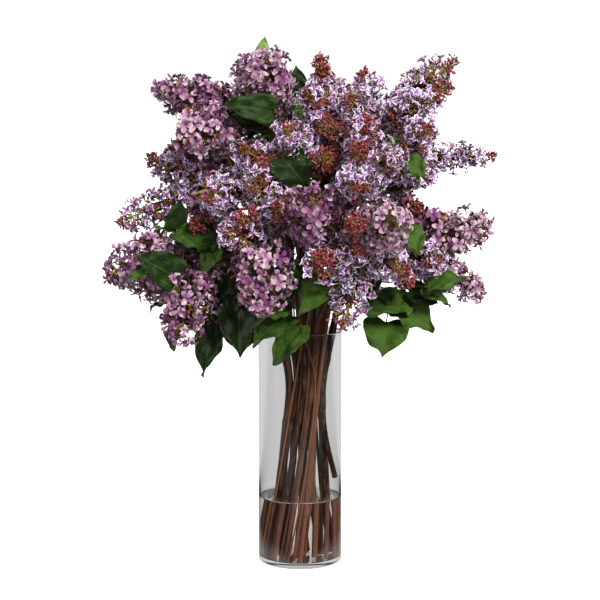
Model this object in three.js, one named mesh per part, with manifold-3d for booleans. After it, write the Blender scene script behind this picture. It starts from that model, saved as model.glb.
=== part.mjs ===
// A bouquet of lilac branches standing in a clear glass cylinder vase with some water in it.
// Millimetres, +Z up. The origin is the centre of the vase's underside, -Y is the front.

import * as THREE from 'three';
import { mergeVertices } from 'three/addons/utils/BufferGeometryUtils.js';
import Module from 'manifold-3d';

const wasm = await Module();
wasm.setup();

// ---------------------------------------------------------------------------------------------
// Driving dimensions
// ---------------------------------------------------------------------------------------------

const VASE_RADIUS = 63.5;
const VASE_HEIGHT = 355;
const VASE_WALL = 3;
const VASE_FLOOR = 8;
const VASE_EDGE_ROUND = 3;
const VASE_SIDES = 32;

const WATER_LEVEL = 100;
const FREE_ABOVE_WATER = 8;
const SEAT_GAP = 0.3;

const BARK_SIDES = 5;
const STEM_FOOT_RADIUS = 4;
const STEM_TOP_RADIUS = 2.8;

// The branches stand in three rings that a twist carries from the vase floor to the waist.
const RING_RADII = [0, 14, 28];
const RING_PLACES = [1, 6, 15];
const FOOT_HEIGHT = VASE_FLOOR + 1.2;
const WAIST_HEIGHT = 273;
const NECK_HEIGHT = 350;
const FOOT_SPREAD = 1.72;
const FOOT_TWIST = THREE.MathUtils.degToRad(-42);
const NECK_SPREAD = 1.25;
const WAIST_SHIFT = new THREE.Vector2(9, 0);
const NECK_RISE_SHARE = 0.35;
const FORK_LEAN_SHARE = 0.3;
const LEAST_FORK_RISE = 0.35;

const STALK_RADIUS = 2.3;
const SPLIT_HEIGHT = 5;
const BARE_STALK_SHARE = 0.2;
const PANICLE_SAG = 0.05;
const FLORET_RELIEF = 0.24;
const PETAL_REACH = 0.74;
const EYE_DEPTH = 0.55;
const NOTCH_DEPTH = 0.8;
const LARGEST_LIFT = 0.35;

const TWIG_RADIUS = 2;
const PETIOLE_WIDTH = 2.4;
const LEAF_THICKNESS = 1;

// ---------------------------------------------------------------------------------------------
// Layout, chosen by hand
// ---------------------------------------------------------------------------------------------

// One row for each branch: its place in the rings (ring, place), the fork where its panicles
// start, the colour of its petals, and for each panicle its tip, its radius, and its florets per
// ring and rings of florets.
const BRANCHES = [
  { ring: 1, place: 3, fork: [-92, -15, 668], petals: 'mauve', panicles: [
    [-212, 10, 722, 33, 4, 3], [-162, -120, 647, 35, 4, 3]] },
  { ring: 0, place: 0, fork: [-48, -10, 671], petals: 'mauve', panicles: [
    [-50, -60, 761, 41, 5, 3], [-100, 62, 766, 27, 4, 3]] },
  { ring: 2, place: 7, fork: [-132, -10, 567], petals: 'violet', panicles: [
    [-230, -10, 624, 23, 4, 3], [-271, -50, 525, 28, 4, 3]] },
  { ring: 2, place: 8, fork: [-124, -50, 469], petals: 'mauve', panicles: [
    [-285, -60, 455, 43, 4, 4], [-178, -130, 367, 43, 4, 4]] },
  { ring: 2, place: 10, fork: [-46, -90, 499], petals: 'mauve', panicles: [
    [-58, -200, 416, 44, 4, 4], [-103, -190, 518, 30, 4, 3]] },
  { ring: 2, place: 9, fork: [-61, -70, 573], petals: 'violet', panicles: [
    [-134, -150, 560, 32, 4, 3]] },
  { ring: 1, place: 4, fork: [-18, -70, 582], petals: 'violet', panicles: [
    [-66, -190, 576, 33, 4, 3], [-85, -140, 635, 30, 4, 3]] },
  { ring: 1, place: 5, fork: [23, -60, 584], petals: 'violet', panicles: [
    [-22, -170, 661, 32, 4, 3], [36, -195, 624, 27, 4, 3]] },
  { ring: 1, place: 0, fork: [50, -20, 649], petals: 'violet', panicles: [
    [28, -30, 771, 27, 4, 3], [9, -130, 711, 27, 4, 3]] },
  { ring: 2, place: 14, fork: [104, -20, 657], restsOnGlass: true, petals: 'violet', panicles: [
    [98, -50, 744, 28, 4, 3], [70, -150, 702, 31, 4, 3],
    [226, 0, 766, 29, 4, 4], [204, -76, 704, 27, 4, 3]] },
  { ring: 2, place: 0, fork: [141, -20, 609], petals: 'violet', panicles: [
    [291, -20, 618, 22, 4, 3], [184, -126, 660, 27, 4, 3], [187, -100, 586, 27, 4, 3]] },
  { ring: 2, place: 13, fork: [94, -75, 596], petals: 'violet', panicles: [
    [85, -200, 669, 30, 4, 3], [125, -215, 620, 32, 4, 3], [76, -230, 580, 33, 4, 3]] },
  { ring: 2, place: 11, fork: [7, -85, 506], petals: 'mauve', panicles: [
    [20, -222, 561, 40, 4, 4]] },
  { ring: 2, place: 12, fork: [88, -75, 483], petals: 'mauve', panicles: [
    [126, -215, 541, 37, 4, 3], [152, -160, 453, 28, 4, 3],
    [14, -204, 466, 31, 4, 3], [64, -150, 375, 29, 4, 3]] },
  { ring: 2, place: 1, fork: [150, -10, 465], petals: 'mauve', panicles: [
    [281, -30, 510, 38, 4, 4], [200, -120, 470, 27, 4, 3], [285, -30, 421, 27, 4, 3]] },
  { ring: 2, place: 6, fork: [-110, 60, 590], petals: 'mauve', panicles: [
    [-205, 110, 620, 40, 4, 3], [-150, 175, 560, 42, 4, 3]] },
  { ring: 1, place: 2, fork: [-40, 80, 600], petals: 'violet', panicles: [
    [-62, 200, 630, 42, 4, 3], [-70, 140, 715, 40, 4, 3]] },
  { ring: 1, place: 1, fork: [45, 80, 610], petals: 'mauve', panicles: [
    [60, 200, 640, 42, 4, 3], [50, 120, 730, 40, 4, 3]] },
  { ring: 2, place: 2, fork: [110, 60, 590], petals: 'violet', panicles: [
    [205, 110, 640, 40, 4, 3], [150, 185, 570, 42, 4, 3]] },
  { ring: 2, place: 4, fork: [0, 100, 500], petals: 'mauve', panicles: [
    [-75, 210, 490, 42, 4, 3], [75, 210, 480, 42, 4, 3]] },
];

// The branch that is cut short leans outwards and ends on the glass above the water.
const SHORT_FOOT = [52.2, -20, 132];
const SHORT_BEND = [37, -20, 205];

// One row for each leafy shoot: the branch that it grows on and the height where it leaves it,
// the point that it bends towards, its end, and its leaves. A leaf has its base, its tip, its
// width and the way in which its upper face looks.
const SHOOTS = [
  { branch: 4, height: 400, bend: [-90, -70, 408], end: [-112, -90, 395], leaves: [
    [[-122, -94, 371], [-138, -120, 304], 42, [-0.3, -1, 0.2]],
    [[-98, -100, 412], [-107, -124, 381], 28, [-0.2, -1, 0.4]],
    [[-88, -112, 403], [-85, -148, 337], 52, [0.1, -1, 0.3]]] },
  { branch: 4, height: 440, bend: [-130, -20, 420], end: [-168, -36, 408], leaves: [
    [[-176, -46, 396], [-192, -80, 340], 22, [-0.4, -0.8, 0]],
    [[-186, -44, 404], [-222, -56, 396], 26, [-0.2, -0.6, 0.8]]] },
  { branch: 3, height: 495, bend: [-150, -60, 505], end: [-168, -74, 508], leaves: [
    [[-179, -72, 512], [-171, -84, 558], 36, [-0.2, -1, 0.1]],
    [[-140, -94, 498], [-184, -112, 508], 42, [0, -0.8, 0.6]],
    [[-122, -98, 486], [-141, -120, 452], 30, [-0.2, -1, 0.3]],
    [[-181, -116, 449], [-230, -150, 480], 52, [-0.2, -1, 0.4]]] },
  { branch: 2, height: 620, bend: [-44, -30, 645], end: [-52, -44, 656], leaves: [
    [[-56, -54, 658], [-107, -76, 683], 44, [0.1, -0.7, 0.7]],
    [[-58, -54, 648], [-96, -66, 634], 34, [0, -0.5, 0.9]]] },
  { branch: 2, height: 650, bend: [-18, 14, 700], end: [-46, 22, 748], leaves: [
    [[-60, 14, 758], [-52, 16, 796], 22, [0.2, -1, 0]]] },
  { branch: 9, height: 600, bend: [18, -26, 655], end: [4, -26, 686], leaves: [
    [[2, -14, 703], [-6, -8, 753], 28, [0, -1, 0.2]],
    [[0, -46, 676], [-14, -72, 690], 24, [0, -0.8, 0.6]]] },
  { branch: 8, height: 545, bend: [20, -52, 560], end: [12, -66, 568], leaves: [
    [[-2, -72, 566], [-28, -92, 603], 40, [0, -1, 0.5]],
    [[36, -50, 572], [50, -62, 602], 26, [0, -1, 0.3]]] },
  { branch: 13, height: 430, bend: [15, -90, 440], end: [26, -104, 450], leaves: [
    [[34, -112, 450], [-2, -150, 398], 48, [0.2, -1, 0.3]],
    [[0, -104, 462], [-17, -120, 434], 24, [-0.2, -1, 0.3]]] },
  { branch: 5, height: 385, bend: [-12, -70, 380], end: [-12, -98, 386], leaves: [
    [[-18, -110, 391], [-68, -150, 355], 46, [-0.1, -0.8, 0.7]],
    [[-26, -118, 400], [-61, -156, 392], 34, [0, -0.7, 0.8]],
    [[0, -100, 372], [-40, -122, 322], 40, [-0.2, -1, 0.4]]] },
  { branch: 15, height: 430, bend: [140, -25, 420], end: [141, -40, 398], leaves: [
    [[136, -46, 391], [86, -80, 398], 34, [0, -0.5, 1]],
    [[148, -46, 392], [199, -62, 362], 44, [0.1, -0.8, 0.6]],
    [[138, -52, 380], [121, -80, 328], 58, [0, -1, 0.3]],
    [[140, -60, 402], [114, -80, 418], 24, [0, -0.8, 0.6]]] },
  { branch: 15, height: 445, bend: [158, -40, 430], end: [172, -62, 428], leaves: [
    [[188, -84, 430], [240, -96, 444], 36, [0, -0.6, 0.8]],
    [[184, -68, 424], [221, -80, 402], 26, [0, -0.8, 0.6]]] },
  { branch: 11, height: 520, bend: [120, -40, 530], end: [148, -82, 524], leaves: [
    [[156, -92, 516], [170, -122, 480], 36, [0.3, -1, 0.2]],
    [[140, -92, 530], [112, -110, 524], 30, [0, -1, 0.5]]] },
  { branch: 11, height: 590, bend: [138, -60, 612], end: [148, -98, 616], leaves: [
    [[154, -110, 616], [177, -132, 589], 30, [0.2, -1, 0.3]],
    [[142, -98, 626], [120, -92, 650], 24, [-0.3, -1, 0.5]]] },
  { branch: 16, height: 500, bend: [-110, 60, 510], end: [-135, 85, 508], leaves: [
    [[-146, 90, 504], [-200, 120, 480], 54, [-0.5, 0.6, 1]],
    [[-135, 98, 500], [-150, 150, 468], 52, [0, 1, 0.8]],
    [[-120, 92, 512], [-90, 140, 510], 44, [0, 1, 0.6]]] },
  { branch: 17, height: 520, bend: [-40, 100, 540], end: [-40, 130, 550], leaves: [
    [[-48, 134, 556], [-98, 160, 560], 44, [0, 1, 0.6]],
    [[-36, 142, 552], [0, 190, 560], 50, [0, 1, 0.6]]] },
  { branch: 19, height: 500, bend: [110, 60, 510], end: [135, 85, 508], leaves: [
    [[146, 90, 504], [200, 120, 480], 54, [0.5, 0.6, 1]],
    [[135, 98, 500], [150, 150, 468], 52, [0, 1, 0.8]],
    [[120, 92, 512], [90, 140, 510], 44, [0, 1, 0.6]]] },
  { branch: 20, height: 395, bend: [0, 90, 405], end: [0, 110, 396], leaves: [
    [[-10, 118, 392], [-60, 150, 350], 56, [-0.2, 1, 0.5]],
    [[8, 120, 390], [40, 150, 338], 56, [0.2, 1, 0.5]],
    [[14, 112, 400], [72, 128, 392], 50, [0.2, 0.7, 1]],
    [[-14, 112, 402], [-74, 124, 404], 50, [-0.2, 0.7, 1]]] },
];

// ---------------------------------------------------------------------------------------------
// Materials
// ---------------------------------------------------------------------------------------------

function finish(color, roughness, extra = {}) {
  return new THREE.MeshStandardMaterial({ color, roughness, metalness: 0, ...extra });
}

const GLASS = finish(0xdfe5e4, 0.05, { transparent: true, opacity: 0.3 });
const WATER = finish(0xcfdad6, 0.03, { transparent: true, opacity: 0.4 });
const BARK = finish(0x4d2f24, 0.75);
const LEAF_GREEN = finish(0x33592a, 0.55);
const PETALS = { mauve: finish(0xa783ab, 0.6), violet: finish(0x9a86c4, 0.6) };

// ---------------------------------------------------------------------------------------------
// Helpers
// ---------------------------------------------------------------------------------------------

const vector = ([x, y, z]) => new THREE.Vector3(x, y, z);

// A repeatable stream of numbers from 0 to 1.
function randomStream(seed) {
  let state = seed;
  return () => {
    state = (state + 0x6d2b79f5) | 0;
    let mixed = Math.imul(state ^ (state >>> 15), 1 | state);
    mixed = (mixed + Math.imul(mixed ^ (mixed >>> 7), 61 | mixed)) ^ mixed;
    return ((mixed ^ (mixed >>> 14)) >>> 0) / 4294967296;
  };
}

function closedSolid(geometry) {
  const bare = geometry.clone();
  bare.deleteAttribute('normal');
  bare.deleteAttribute('uv');
  const merged = mergeVertices(bare, 1e-4);
  return new wasm.Manifold(new wasm.Mesh({
    numProp: 3,
    vertProperties: Float32Array.from(merged.attributes.position.array),
    triVerts: Uint32Array.from(merged.index.array),
  }));
}

function geometryOf(solid) {
  const mesh = solid.getMesh();
  const geometry = new THREE.BufferGeometry();
  geometry.setAttribute('position', new THREE.BufferAttribute(mesh.vertProperties, 3));
  geometry.setIndex(new THREE.BufferAttribute(mesh.triVerts, 1));
  geometry.computeVertexNormals();
  return geometry;
}

const fused = (geometries) => geometryOf(
  geometries.map(closedSolid).reduce((whole, part) => whole.add(part)));

// The largest body of a solid, without the crumbs that a cut leaves.
function largestBody(solid) {
  return solid.decompose().reduce((best, body) => (body.volume() > best.volume() ? body : best));
}

// A rod with a ring of points round each point of a path, closed at both ends. The rings stand
// square to the path, and each frame is the last one turned no more than the path turns.
function sweep(points, radii, sides) {
  const steps = points.length - 1;
  const geometry = new THREE.CylinderGeometry(1, 1, steps, sides, steps);
  const tangents = points.map((point, i) => new THREE.Vector3()
    .subVectors(points[Math.min(i + 1, steps)], points[Math.max(i - 1, 0)]).normalize());
  const normals = [];
  const first = Math.abs(tangents[0].x) < 0.8 ? new THREE.Vector3(1, 0, 0) : new THREE.Vector3(0, 1, 0);
  tangents.forEach((tangent, i) => {
    const before = i ? normals[i - 1] : first;
    normals.push(before.clone().addScaledVector(tangent, -before.dot(tangent)).normalize());
  });
  const position = geometry.attributes.position;
  for (let v = 0; v < position.count; v += 1) {
    const ring = Math.round(position.getY(v) + steps / 2);
    const side = new THREE.Vector3().crossVectors(tangents[ring], normals[ring]);
    const place = points[ring].clone()
      .addScaledVector(side, position.getX(v) * radii[ring])
      .addScaledVector(normals[ring], position.getZ(v) * radii[ring]);
    position.setXYZ(v, place.x, place.y, place.z);
  }
  return geometry;
}

const bouquet = new THREE.Group();

// Adds a named mesh whose own frame starts at the given point.
function addPiece(name, geometry, material, anchor = new THREE.Vector3()) {
  const mesh = new THREE.Mesh(geometry.translate(-anchor.x, -anchor.y, -anchor.z), material.clone());
  mesh.name = name;
  mesh.position.copy(anchor);
  bouquet.add(mesh);
}

const numbered = (name, index) => `${name}_${String(index + 1).padStart(2, '0')}`;

// ---------------------------------------------------------------------------------------------
// Vase and water
// ---------------------------------------------------------------------------------------------

function lathe(profile) {
  return new THREE.LatheGeometry(profile.map(([r, z]) => new THREE.Vector2(r, z)), VASE_SIDES)
    .rotateX(Math.PI / 2);
}

function vaseGeometry() {
  const inner = VASE_RADIUS - VASE_WALL;
  const roundInset = VASE_EDGE_ROUND * (1 - Math.SQRT1_2);
  const rimRound = 1;
  return lathe([
    [0, 0],
    [VASE_RADIUS - VASE_EDGE_ROUND, 0],
    [VASE_RADIUS - roundInset, roundInset],
    [VASE_RADIUS, VASE_EDGE_ROUND],
    [VASE_RADIUS, VASE_HEIGHT - rimRound],
    [VASE_RADIUS - VASE_WALL / 2, VASE_HEIGHT],
    [inner, VASE_HEIGHT - rimRound],
    [inner, VASE_FLOOR],
    [0, VASE_FLOOR],
  ]);
}

function waterSolid() {
  const outer = VASE_RADIUS - VASE_WALL - SEAT_GAP;
  const bottom = VASE_FLOOR + SEAT_GAP;
  return closedSolid(lathe([
    [0, bottom],
    [outer, bottom],
    [outer, WATER_LEVEL],
    [0, WATER_LEVEL],
  ]));
}

// ---------------------------------------------------------------------------------------------
// Woody branches
// ---------------------------------------------------------------------------------------------

// Where a place of the rings lies at the waist, grown and turned about the bunch's middle.
function ringPoint(ring, place, spread, twist, height) {
  const angle = (place / RING_PLACES[ring]) * 2 * Math.PI + twist;
  const radius = RING_RADII[ring] * spread;
  return new THREE.Vector3(radius * Math.cos(angle), radius * Math.sin(angle), height);
}

// The straight stretch from the vase floor to the waist, up to the given height.
function lowerPath(ring, place, heights) {
  const foot = ringPoint(ring, place, FOOT_SPREAD, FOOT_TWIST, FOOT_HEIGHT);
  const waist = ringPoint(ring, place, 1, 0, WAIST_HEIGHT);
  waist.x += WAIST_SHIFT.x;
  waist.y += WAIST_SHIFT.y;
  return heights.map((height) => new THREE.Vector3()
    .lerpVectors(foot, waist, (height - FOOT_HEIGHT) / (WAIST_HEIGHT - FOOT_HEIGHT)));
}

// The way in which a branch's panicles point on the whole.
function forkDirection(branch) {
  const sum = new THREE.Vector3();
  branch.panicles.forEach((row) => sum.add(vector(row).sub(vector(branch.fork)).normalize()));
  return sum.normalize();
}

function branchPath(branch) {
  const heights = [FOOT_HEIGHT, WATER_LEVEL + FREE_ABOVE_WATER, WAIST_HEIGHT];
  let lower = lowerPath(branch.ring, branch.place, heights);
  if (branch.restsOnGlass) lower = [vector(SHORT_FOOT), vector(SHORT_BEND), lower[2]];
  const neck = ringPoint(branch.ring, branch.place, NECK_SPREAD, 0, NECK_HEIGHT);
  neck.x += WAIST_SHIFT.x;
  neck.y += WAIST_SHIFT.y;
  const fork = vector(branch.fork);
  const reach = neck.distanceTo(fork);
  const waist = lower[lower.length - 1];
  const rise = neck.clone().sub(waist).normalize().multiplyScalar(reach * NECK_RISE_SHARE);
  const lean = forkDirection(branch);
  lean.setZ(Math.max(lean.z, LEAST_FORK_RISE)).normalize();
  const curve = new THREE.CubicBezierCurve3(
    neck,
    neck.clone().add(rise),
    fork.clone().addScaledVector(lean, -reach * FORK_LEAN_SHARE),
    fork);
  return [...lower, ...curve.getPoints(4)];
}

function branchRadii(path) {
  return path.map((_, i) => THREE.MathUtils.lerp(
    STEM_FOOT_RADIUS, STEM_TOP_RADIUS, i / (path.length - 1)));
}

// The room that a branch takes in the water, a seat gap wider than its bark.
function waterHole(path) {
  const below = path[0].clone().addScaledVector(path[1].clone().sub(path[0]).normalize(), -VASE_FLOOR);
  const wide = branchRadii(path).map((radius) => radius + SEAT_GAP / Math.cos(Math.PI / BARK_SIDES));
  return closedSolid(sweep([below, path[1]], [wide[0], wide[1]], BARK_SIDES));
}

// ---------------------------------------------------------------------------------------------
// Panicles
// ---------------------------------------------------------------------------------------------

// A panicle's outline: narrow at the stalk, fullest below the middle, drawn in to a blunt tip.
const fullness = (share) => Math.sin(Math.PI * share ** 0.8) ** 0.5;

// The skin of a panicle is a net of diamonds wound round its axis, one diamond to a floret. The
// corners of a diamond lie deep between the florets, its four petals rise towards the corners,
// and the eye and the notches between the petals stay lower than the petals. The lowest corners
// lie on the bare stalk, which the same skin carries down to a heel that faces a given way.
function panicleGeometry(heel, way, tip, radius, perRing, rings, random) {
  const base = heel.clone().lerp(tip, BARE_STALK_SHARE);
  const sag = new THREE.Vector3(0, 0, base.distanceTo(tip) * PANICLE_SAG);
  const middle = base.clone().lerp(tip, 0.5).add(sag);
  const axis = new THREE.QuadraticBezierCurve3(base, middle, tip);
  const tangent = tip.clone().sub(base).normalize();
  const side = new THREE.Vector3(0, 0, 1).cross(tangent).normalize();
  const upper = new THREE.Vector3().crossVectors(tangent, side);
  const relief = radius * FLORET_RELIEF;
  const positions = [];
  const placed = new Map();

  const addVertex = (centre, height, turn, square = tangent) => {
    const angle = (turn / perRing) * Math.PI;
    const spoke = side.clone().multiplyScalar(Math.cos(angle)).addScaledVector(upper, Math.sin(angle));
    spoke.addScaledVector(square, -spoke.dot(square)).normalize();
    const point = centre.clone().addScaledVector(spoke, height);
    positions.push(point.x, point.y, point.z);
    return positions.length / 3 - 1;
  };

  // One vertex of the net: level counts half diamonds along the axis, turn counts them round it.
  const vertex = (level, turn, depth) => {
    const atTip = level === rings;
    const place = atTip ? 0 : ((turn % (2 * perRing)) + 2 * perRing) % (2 * perRing);
    const key = `${level.toFixed(3)},${place.toFixed(3)}`;
    if (!placed.has(key)) {
      const share = (level + 1) / (rings + 1);
      const swollen = Math.max(fullness(share) * radius - depth, STALK_RADIUS);
      placed.set(key, addVertex(axis.getPoint(share), atTip ? 0 : swollen, place));
    }
    return placed.get(key);
  };

  const index = [];
  const compass = [[1, 0], [0, 1], [-1, 0], [0, -1]];
  for (let ring = 0; ring < rings; ring += 1) {
    for (let place = 0; place < perRing; place += 1) {
      const turn = 2 * place + (ring % 2);
      const lift = relief * LARGEST_LIFT * random();
      const eye = vertex(ring, turn, relief * EYE_DEPTH + lift);
      compass.forEach(([up, round], k) => {
        const [nextUp, nextRound] = compass[(k + 1) % 4];
        const corner = vertex(ring + up, turn + round, relief);
        const nextCorner = vertex(ring + nextUp, turn + nextRound, relief);
        const petal = vertex(ring + PETAL_REACH * up, turn + PETAL_REACH * round, lift);
        const nextPetal = vertex(ring + PETAL_REACH * nextUp, turn + PETAL_REACH * nextRound, lift);
        if (ring + up + nextUp < 0) {
          index.push(eye, nextPetal, petal, petal, nextPetal, corner, corner, nextPetal, nextCorner);
          return;
        }
        const swing = ring + up + nextUp === rings ? 1 : 0.5;
        const notch = vertex(
          ring + (up + nextUp) / 2, turn + (round + nextRound) * swing, relief * NOTCH_DEPTH);
        index.push(eye, notch, petal, eye, nextPetal, notch);
        index.push(petal, notch, corner, nextPetal, nextCorner, notch);
      });
    }
  }
  const cut = [];
  for (let place = 0; place < perRing; place += 1) {
    cut.push(addVertex(heel, STALK_RADIUS, 2 * place, way));
  }
  for (let place = 0; place < perRing; place += 1) {
    const [here, next] = [cut[place], cut[(place + 1) % perRing]];
    const [above, aboveNext] = [vertex(-1, 2 * place, 0), vertex(-1, 2 * place + 2, 0)];
    index.push(above, aboveNext, vertex(0, 2 * place + 1, 0));
    index.push(here, next, aboveNext, here, aboveNext, above);
    if (place > 1) index.push(cut[0], here, cut[place - 1]);
  }
  const geometry = new THREE.BufferGeometry();
  geometry.setAttribute('position', new THREE.Float32BufferAttribute(positions, 3));
  geometry.setIndex(index);
  return geometry;
}

// The flower heads of one branch. The first panicle's stalk sits square on the end of the wood,
// and the others leave it a little above.
function bloomGeometry(branch, way, random) {
  const fork = vector(branch.fork);
  const firstStalk = vector(branch.panicles[0]).sub(fork).normalize();
  const split = fork.clone().addScaledVector(firstStalk, SPLIT_HEIGHT);
  return fused(branch.panicles.map(([x, y, z, radius, perRing, rings], i) => {
    const tip = new THREE.Vector3(x, y, z);
    const heelWay = i ? tip.clone().sub(split).normalize() : way;
    return panicleGeometry(i ? split : fork, heelWay, tip, radius, perRing, rings, random);
  }));
}

// ---------------------------------------------------------------------------------------------
// Leafy shoots
// ---------------------------------------------------------------------------------------------

// Half of a heart-shaped blade's edge, from the lobe behind the base to just short of the tip:
// share of the length, share of the width, and the wave of the edge as a share of the length.
const LEAF_EDGE = [[-0.1, 0.3, 0.03], [0.1, 0.49, -0.03], [0.37, 0.48, 0.05], [0.68, 0.27, -0.03]];
const LEAF_RIB = [0.3, 0.64];
const LEAF_FOLD = 0.28;
const LEAF_DROOP = 0.16;

// A leaf on its petiole, whose upper face bends at the base into the blade's. The lower face is
// the upper one, moved straight back by the thickness, with a mitre where the petiole ends.
function leafGeometry(root, base, tip, width, facing) {
  const along = tip.clone().sub(base).normalize();
  const face = facing.clone().addScaledVector(along, -along.dot(facing)).normalize();
  const side = new THREE.Vector3().crossVectors(along, face);
  const reach = base.clone().sub(root).normalize();
  const petioleFace = side.clone().cross(reach).addScaledVector(face, 0.2).normalize();
  const mitre = petioleFace.clone().add(face).normalize();
  mitre.divideScalar(Math.max(mitre.dot(face), 0.5));
  const length = base.distanceTo(tip);
  const bladePoint = (share, out, lift) => base.clone()
    .addScaledVector(along, share * length)
    .addScaledVector(side, out)
    .addScaledVector(face, lift + LEAF_FOLD * Math.abs(out) + LEAF_DROOP * length * share * (1 - share));
  const half = PETIOLE_WIDTH / 2;
  const tipPoint = bladePoint(1, 0, 0);
  const ribs = LEAF_RIB.map((share) => bladePoint(share, 0, 0));
  const outlineOf = (sign) => [
    bladePoint(0, sign * half, 0),
    ...LEAF_EDGE.map(([share, out, wave]) => bladePoint(share, sign * out * width, wave * length * sign)),
  ];
  const points = [root, ...outlineOf(1), tipPoint, ...outlineOf(-1).reverse(), ...ribs];
  const rim = points.length - LEAF_RIB.length;
  const [lowRib, highRib] = [rim, rim + 1];
  const back = points.map(() => face);
  back[0] = petioleFace;
  back[1] = mitre;
  back[rim - 1] = mitre;
  const upper = [
    [0, 1, 11], [1, lowRib, 11], [1, 2, 3], [1, 3, lowRib], [3, 4, lowRib], [4, highRib, lowRib],
    [4, 5, highRib], [5, 6, highRib], [6, 7, highRib], [7, 8, highRib], [8, lowRib, highRib],
    [8, 9, lowRib], [9, 11, lowRib], [9, 10, 11],
  ];
  const positions = [];
  points.forEach((point) => positions.push(point.x, point.y, point.z));
  points.forEach((point, i) => {
    const under = point.clone().addScaledVector(back[i], -LEAF_THICKNESS);
    positions.push(under.x, under.y, under.z);
  });
  const index = upper.flat();
  upper.forEach(([a, b, c]) => index.push(a + points.length, c + points.length, b + points.length));
  for (let here = 0; here < rim; here += 1) {
    const next = (here + 1) % rim;
    index.push(here, here + points.length, next + points.length, here, next + points.length, next);
  }
  const geometry = new THREE.BufferGeometry();
  geometry.setAttribute('position', new THREE.Float32BufferAttribute(positions, 3));
  geometry.setIndex(index);
  return geometry;
}

// The point of a path at a given height.
function pointAtHeight(path, height) {
  const above = path.findIndex((point) => point.z > height);
  const [low, high] = [path[above - 1], path[above]];
  return low.clone().lerp(high, (height - low.z) / (high.z - low.z));
}

// A green twig with its leaves, cut off at a seat gap from the bark that it grows on.
function shootGeometry(shoot, path) {
  const root = pointAtHeight(path, shoot.height);
  const curve = new THREE.QuadraticBezierCurve3(root, vector(shoot.bend), vector(shoot.end));
  const twigPath = curve.getPoints(2);
  const parts = [sweep(twigPath, twigPath.map(() => TWIG_RADIUS), 3)];
  shoot.leaves.forEach(([base, tip, width, facing], i) => {
    const from = twigPath[1].clone().lerp(twigPath[2], (i + 0.5) / shoot.leaves.length);
    parts.push(leafGeometry(from, vector(base), vector(tip), width, vector(facing)));
  });
  const grown = branchRadii(path).map((radius) => radius + SEAT_GAP / Math.cos(Math.PI / BARK_SIDES));
  const bark = closedSolid(sweep(path, grown, BARK_SIDES));
  const whole = parts.map(closedSolid).reduce((solid, part) => solid.add(part));
  return geometryOf(largestBody(whole.subtract(bark)));
}

// ---------------------------------------------------------------------------------------------
// The whole bouquet
// ---------------------------------------------------------------------------------------------

addPiece('vase', vaseGeometry(), GLASS);

let water = waterSolid();
const paths = BRANCHES.map(branchPath);
BRANCHES.forEach((branch, i) => {
  const path = paths[i];
  const last = path.length - 1;
  const way = path[last].clone().sub(path[last - 1]).normalize();
  if (!branch.restsOnGlass) water = water.subtract(waterHole(path));
  path[last].addScaledVector(way, -SEAT_GAP);
  addPiece(numbered('stem', i), sweep(path, branchRadii(path), BARK_SIDES), BARK, path[0].clone());
  addPiece(numbered('bloom', i), bloomGeometry(branch, way, randomStream(i + 1)),
    PETALS[branch.petals], vector(branch.fork));
});
addPiece('water', geometryOf(water), WATER);
SHOOTS.forEach((shoot, i) => {
  const path = paths[shoot.branch - 1];
  addPiece(numbered('leafy_shoot', i), shootGeometry(shoot, path), LEAF_GREEN,
    pointAtHeight(path, shoot.height));
});

export default bouquet;
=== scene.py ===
"""The fine surfaces and finishes of a bouquet of lilac branches in a clear glass cylinder vase."""
import math
from functools import partial

import bpy
import numpy as np
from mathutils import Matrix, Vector


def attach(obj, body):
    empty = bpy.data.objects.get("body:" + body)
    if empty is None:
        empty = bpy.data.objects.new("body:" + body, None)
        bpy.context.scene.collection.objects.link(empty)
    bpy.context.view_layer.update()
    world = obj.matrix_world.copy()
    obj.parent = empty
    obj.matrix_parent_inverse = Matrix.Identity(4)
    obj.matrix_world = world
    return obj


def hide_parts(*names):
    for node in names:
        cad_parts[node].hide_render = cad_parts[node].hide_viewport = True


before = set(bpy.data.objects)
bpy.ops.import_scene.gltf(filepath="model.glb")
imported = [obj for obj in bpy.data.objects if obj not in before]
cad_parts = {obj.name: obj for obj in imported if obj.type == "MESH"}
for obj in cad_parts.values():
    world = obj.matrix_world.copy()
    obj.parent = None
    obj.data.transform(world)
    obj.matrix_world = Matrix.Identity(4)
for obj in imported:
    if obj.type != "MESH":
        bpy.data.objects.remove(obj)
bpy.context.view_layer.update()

# ---- Sizes. Lengths are written in millimetres and made metres where a mesh is built. ----

MM = 0.001
CAMERA_DISTANCE = 2.370
CAMERA_HEIGHT = 0.675
CAMERA_PITCH = 6.6
CAMERA_LENS = 94.62

VASE_RADIUS = 63.5
VASE_HEIGHT = 355
VASE_WALL = 3
VASE_FLOOR = 8
VASE_EDGE_ROUND = 3
VASE_SIDES = 128
WATER_LEVEL = 100
WATER_LAP = 0.06

STEM_FOOT_RADIUS = 4
STEM_TOP_RADIUS = 2.8
STEM_SIDES = 10
STEM_POINTS = 110
FIRST_JOINT = 40
JOINT_GAPS = (38, 74)
FIRST_ABOVE_NECK = 40
RING_RADII = [0, 14, 28]
RING_PLACES = [1, 6, 15]
FOOT_HEIGHT = VASE_FLOOR + 1.2
WAIST_HEIGHT = 273
NECK_HEIGHT = 350
FOOT_SPREAD = 1.72
FOOT_TWIST = math.radians(-42)
NECK_SPREAD = 1.5
WAIST_SHIFT = np.array([9.0, 0.0, 0.0])
NECK_RISE_SHARE = 0.35
FORK_LEAN_SHARE = 0.3
LEAST_FORK_RISE = 0.35
SHORT_BRANCH = 10
SHORT_FOOT = [52.2, -20, 132]
SHORT_BEND = [37, -20, 205]

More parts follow.
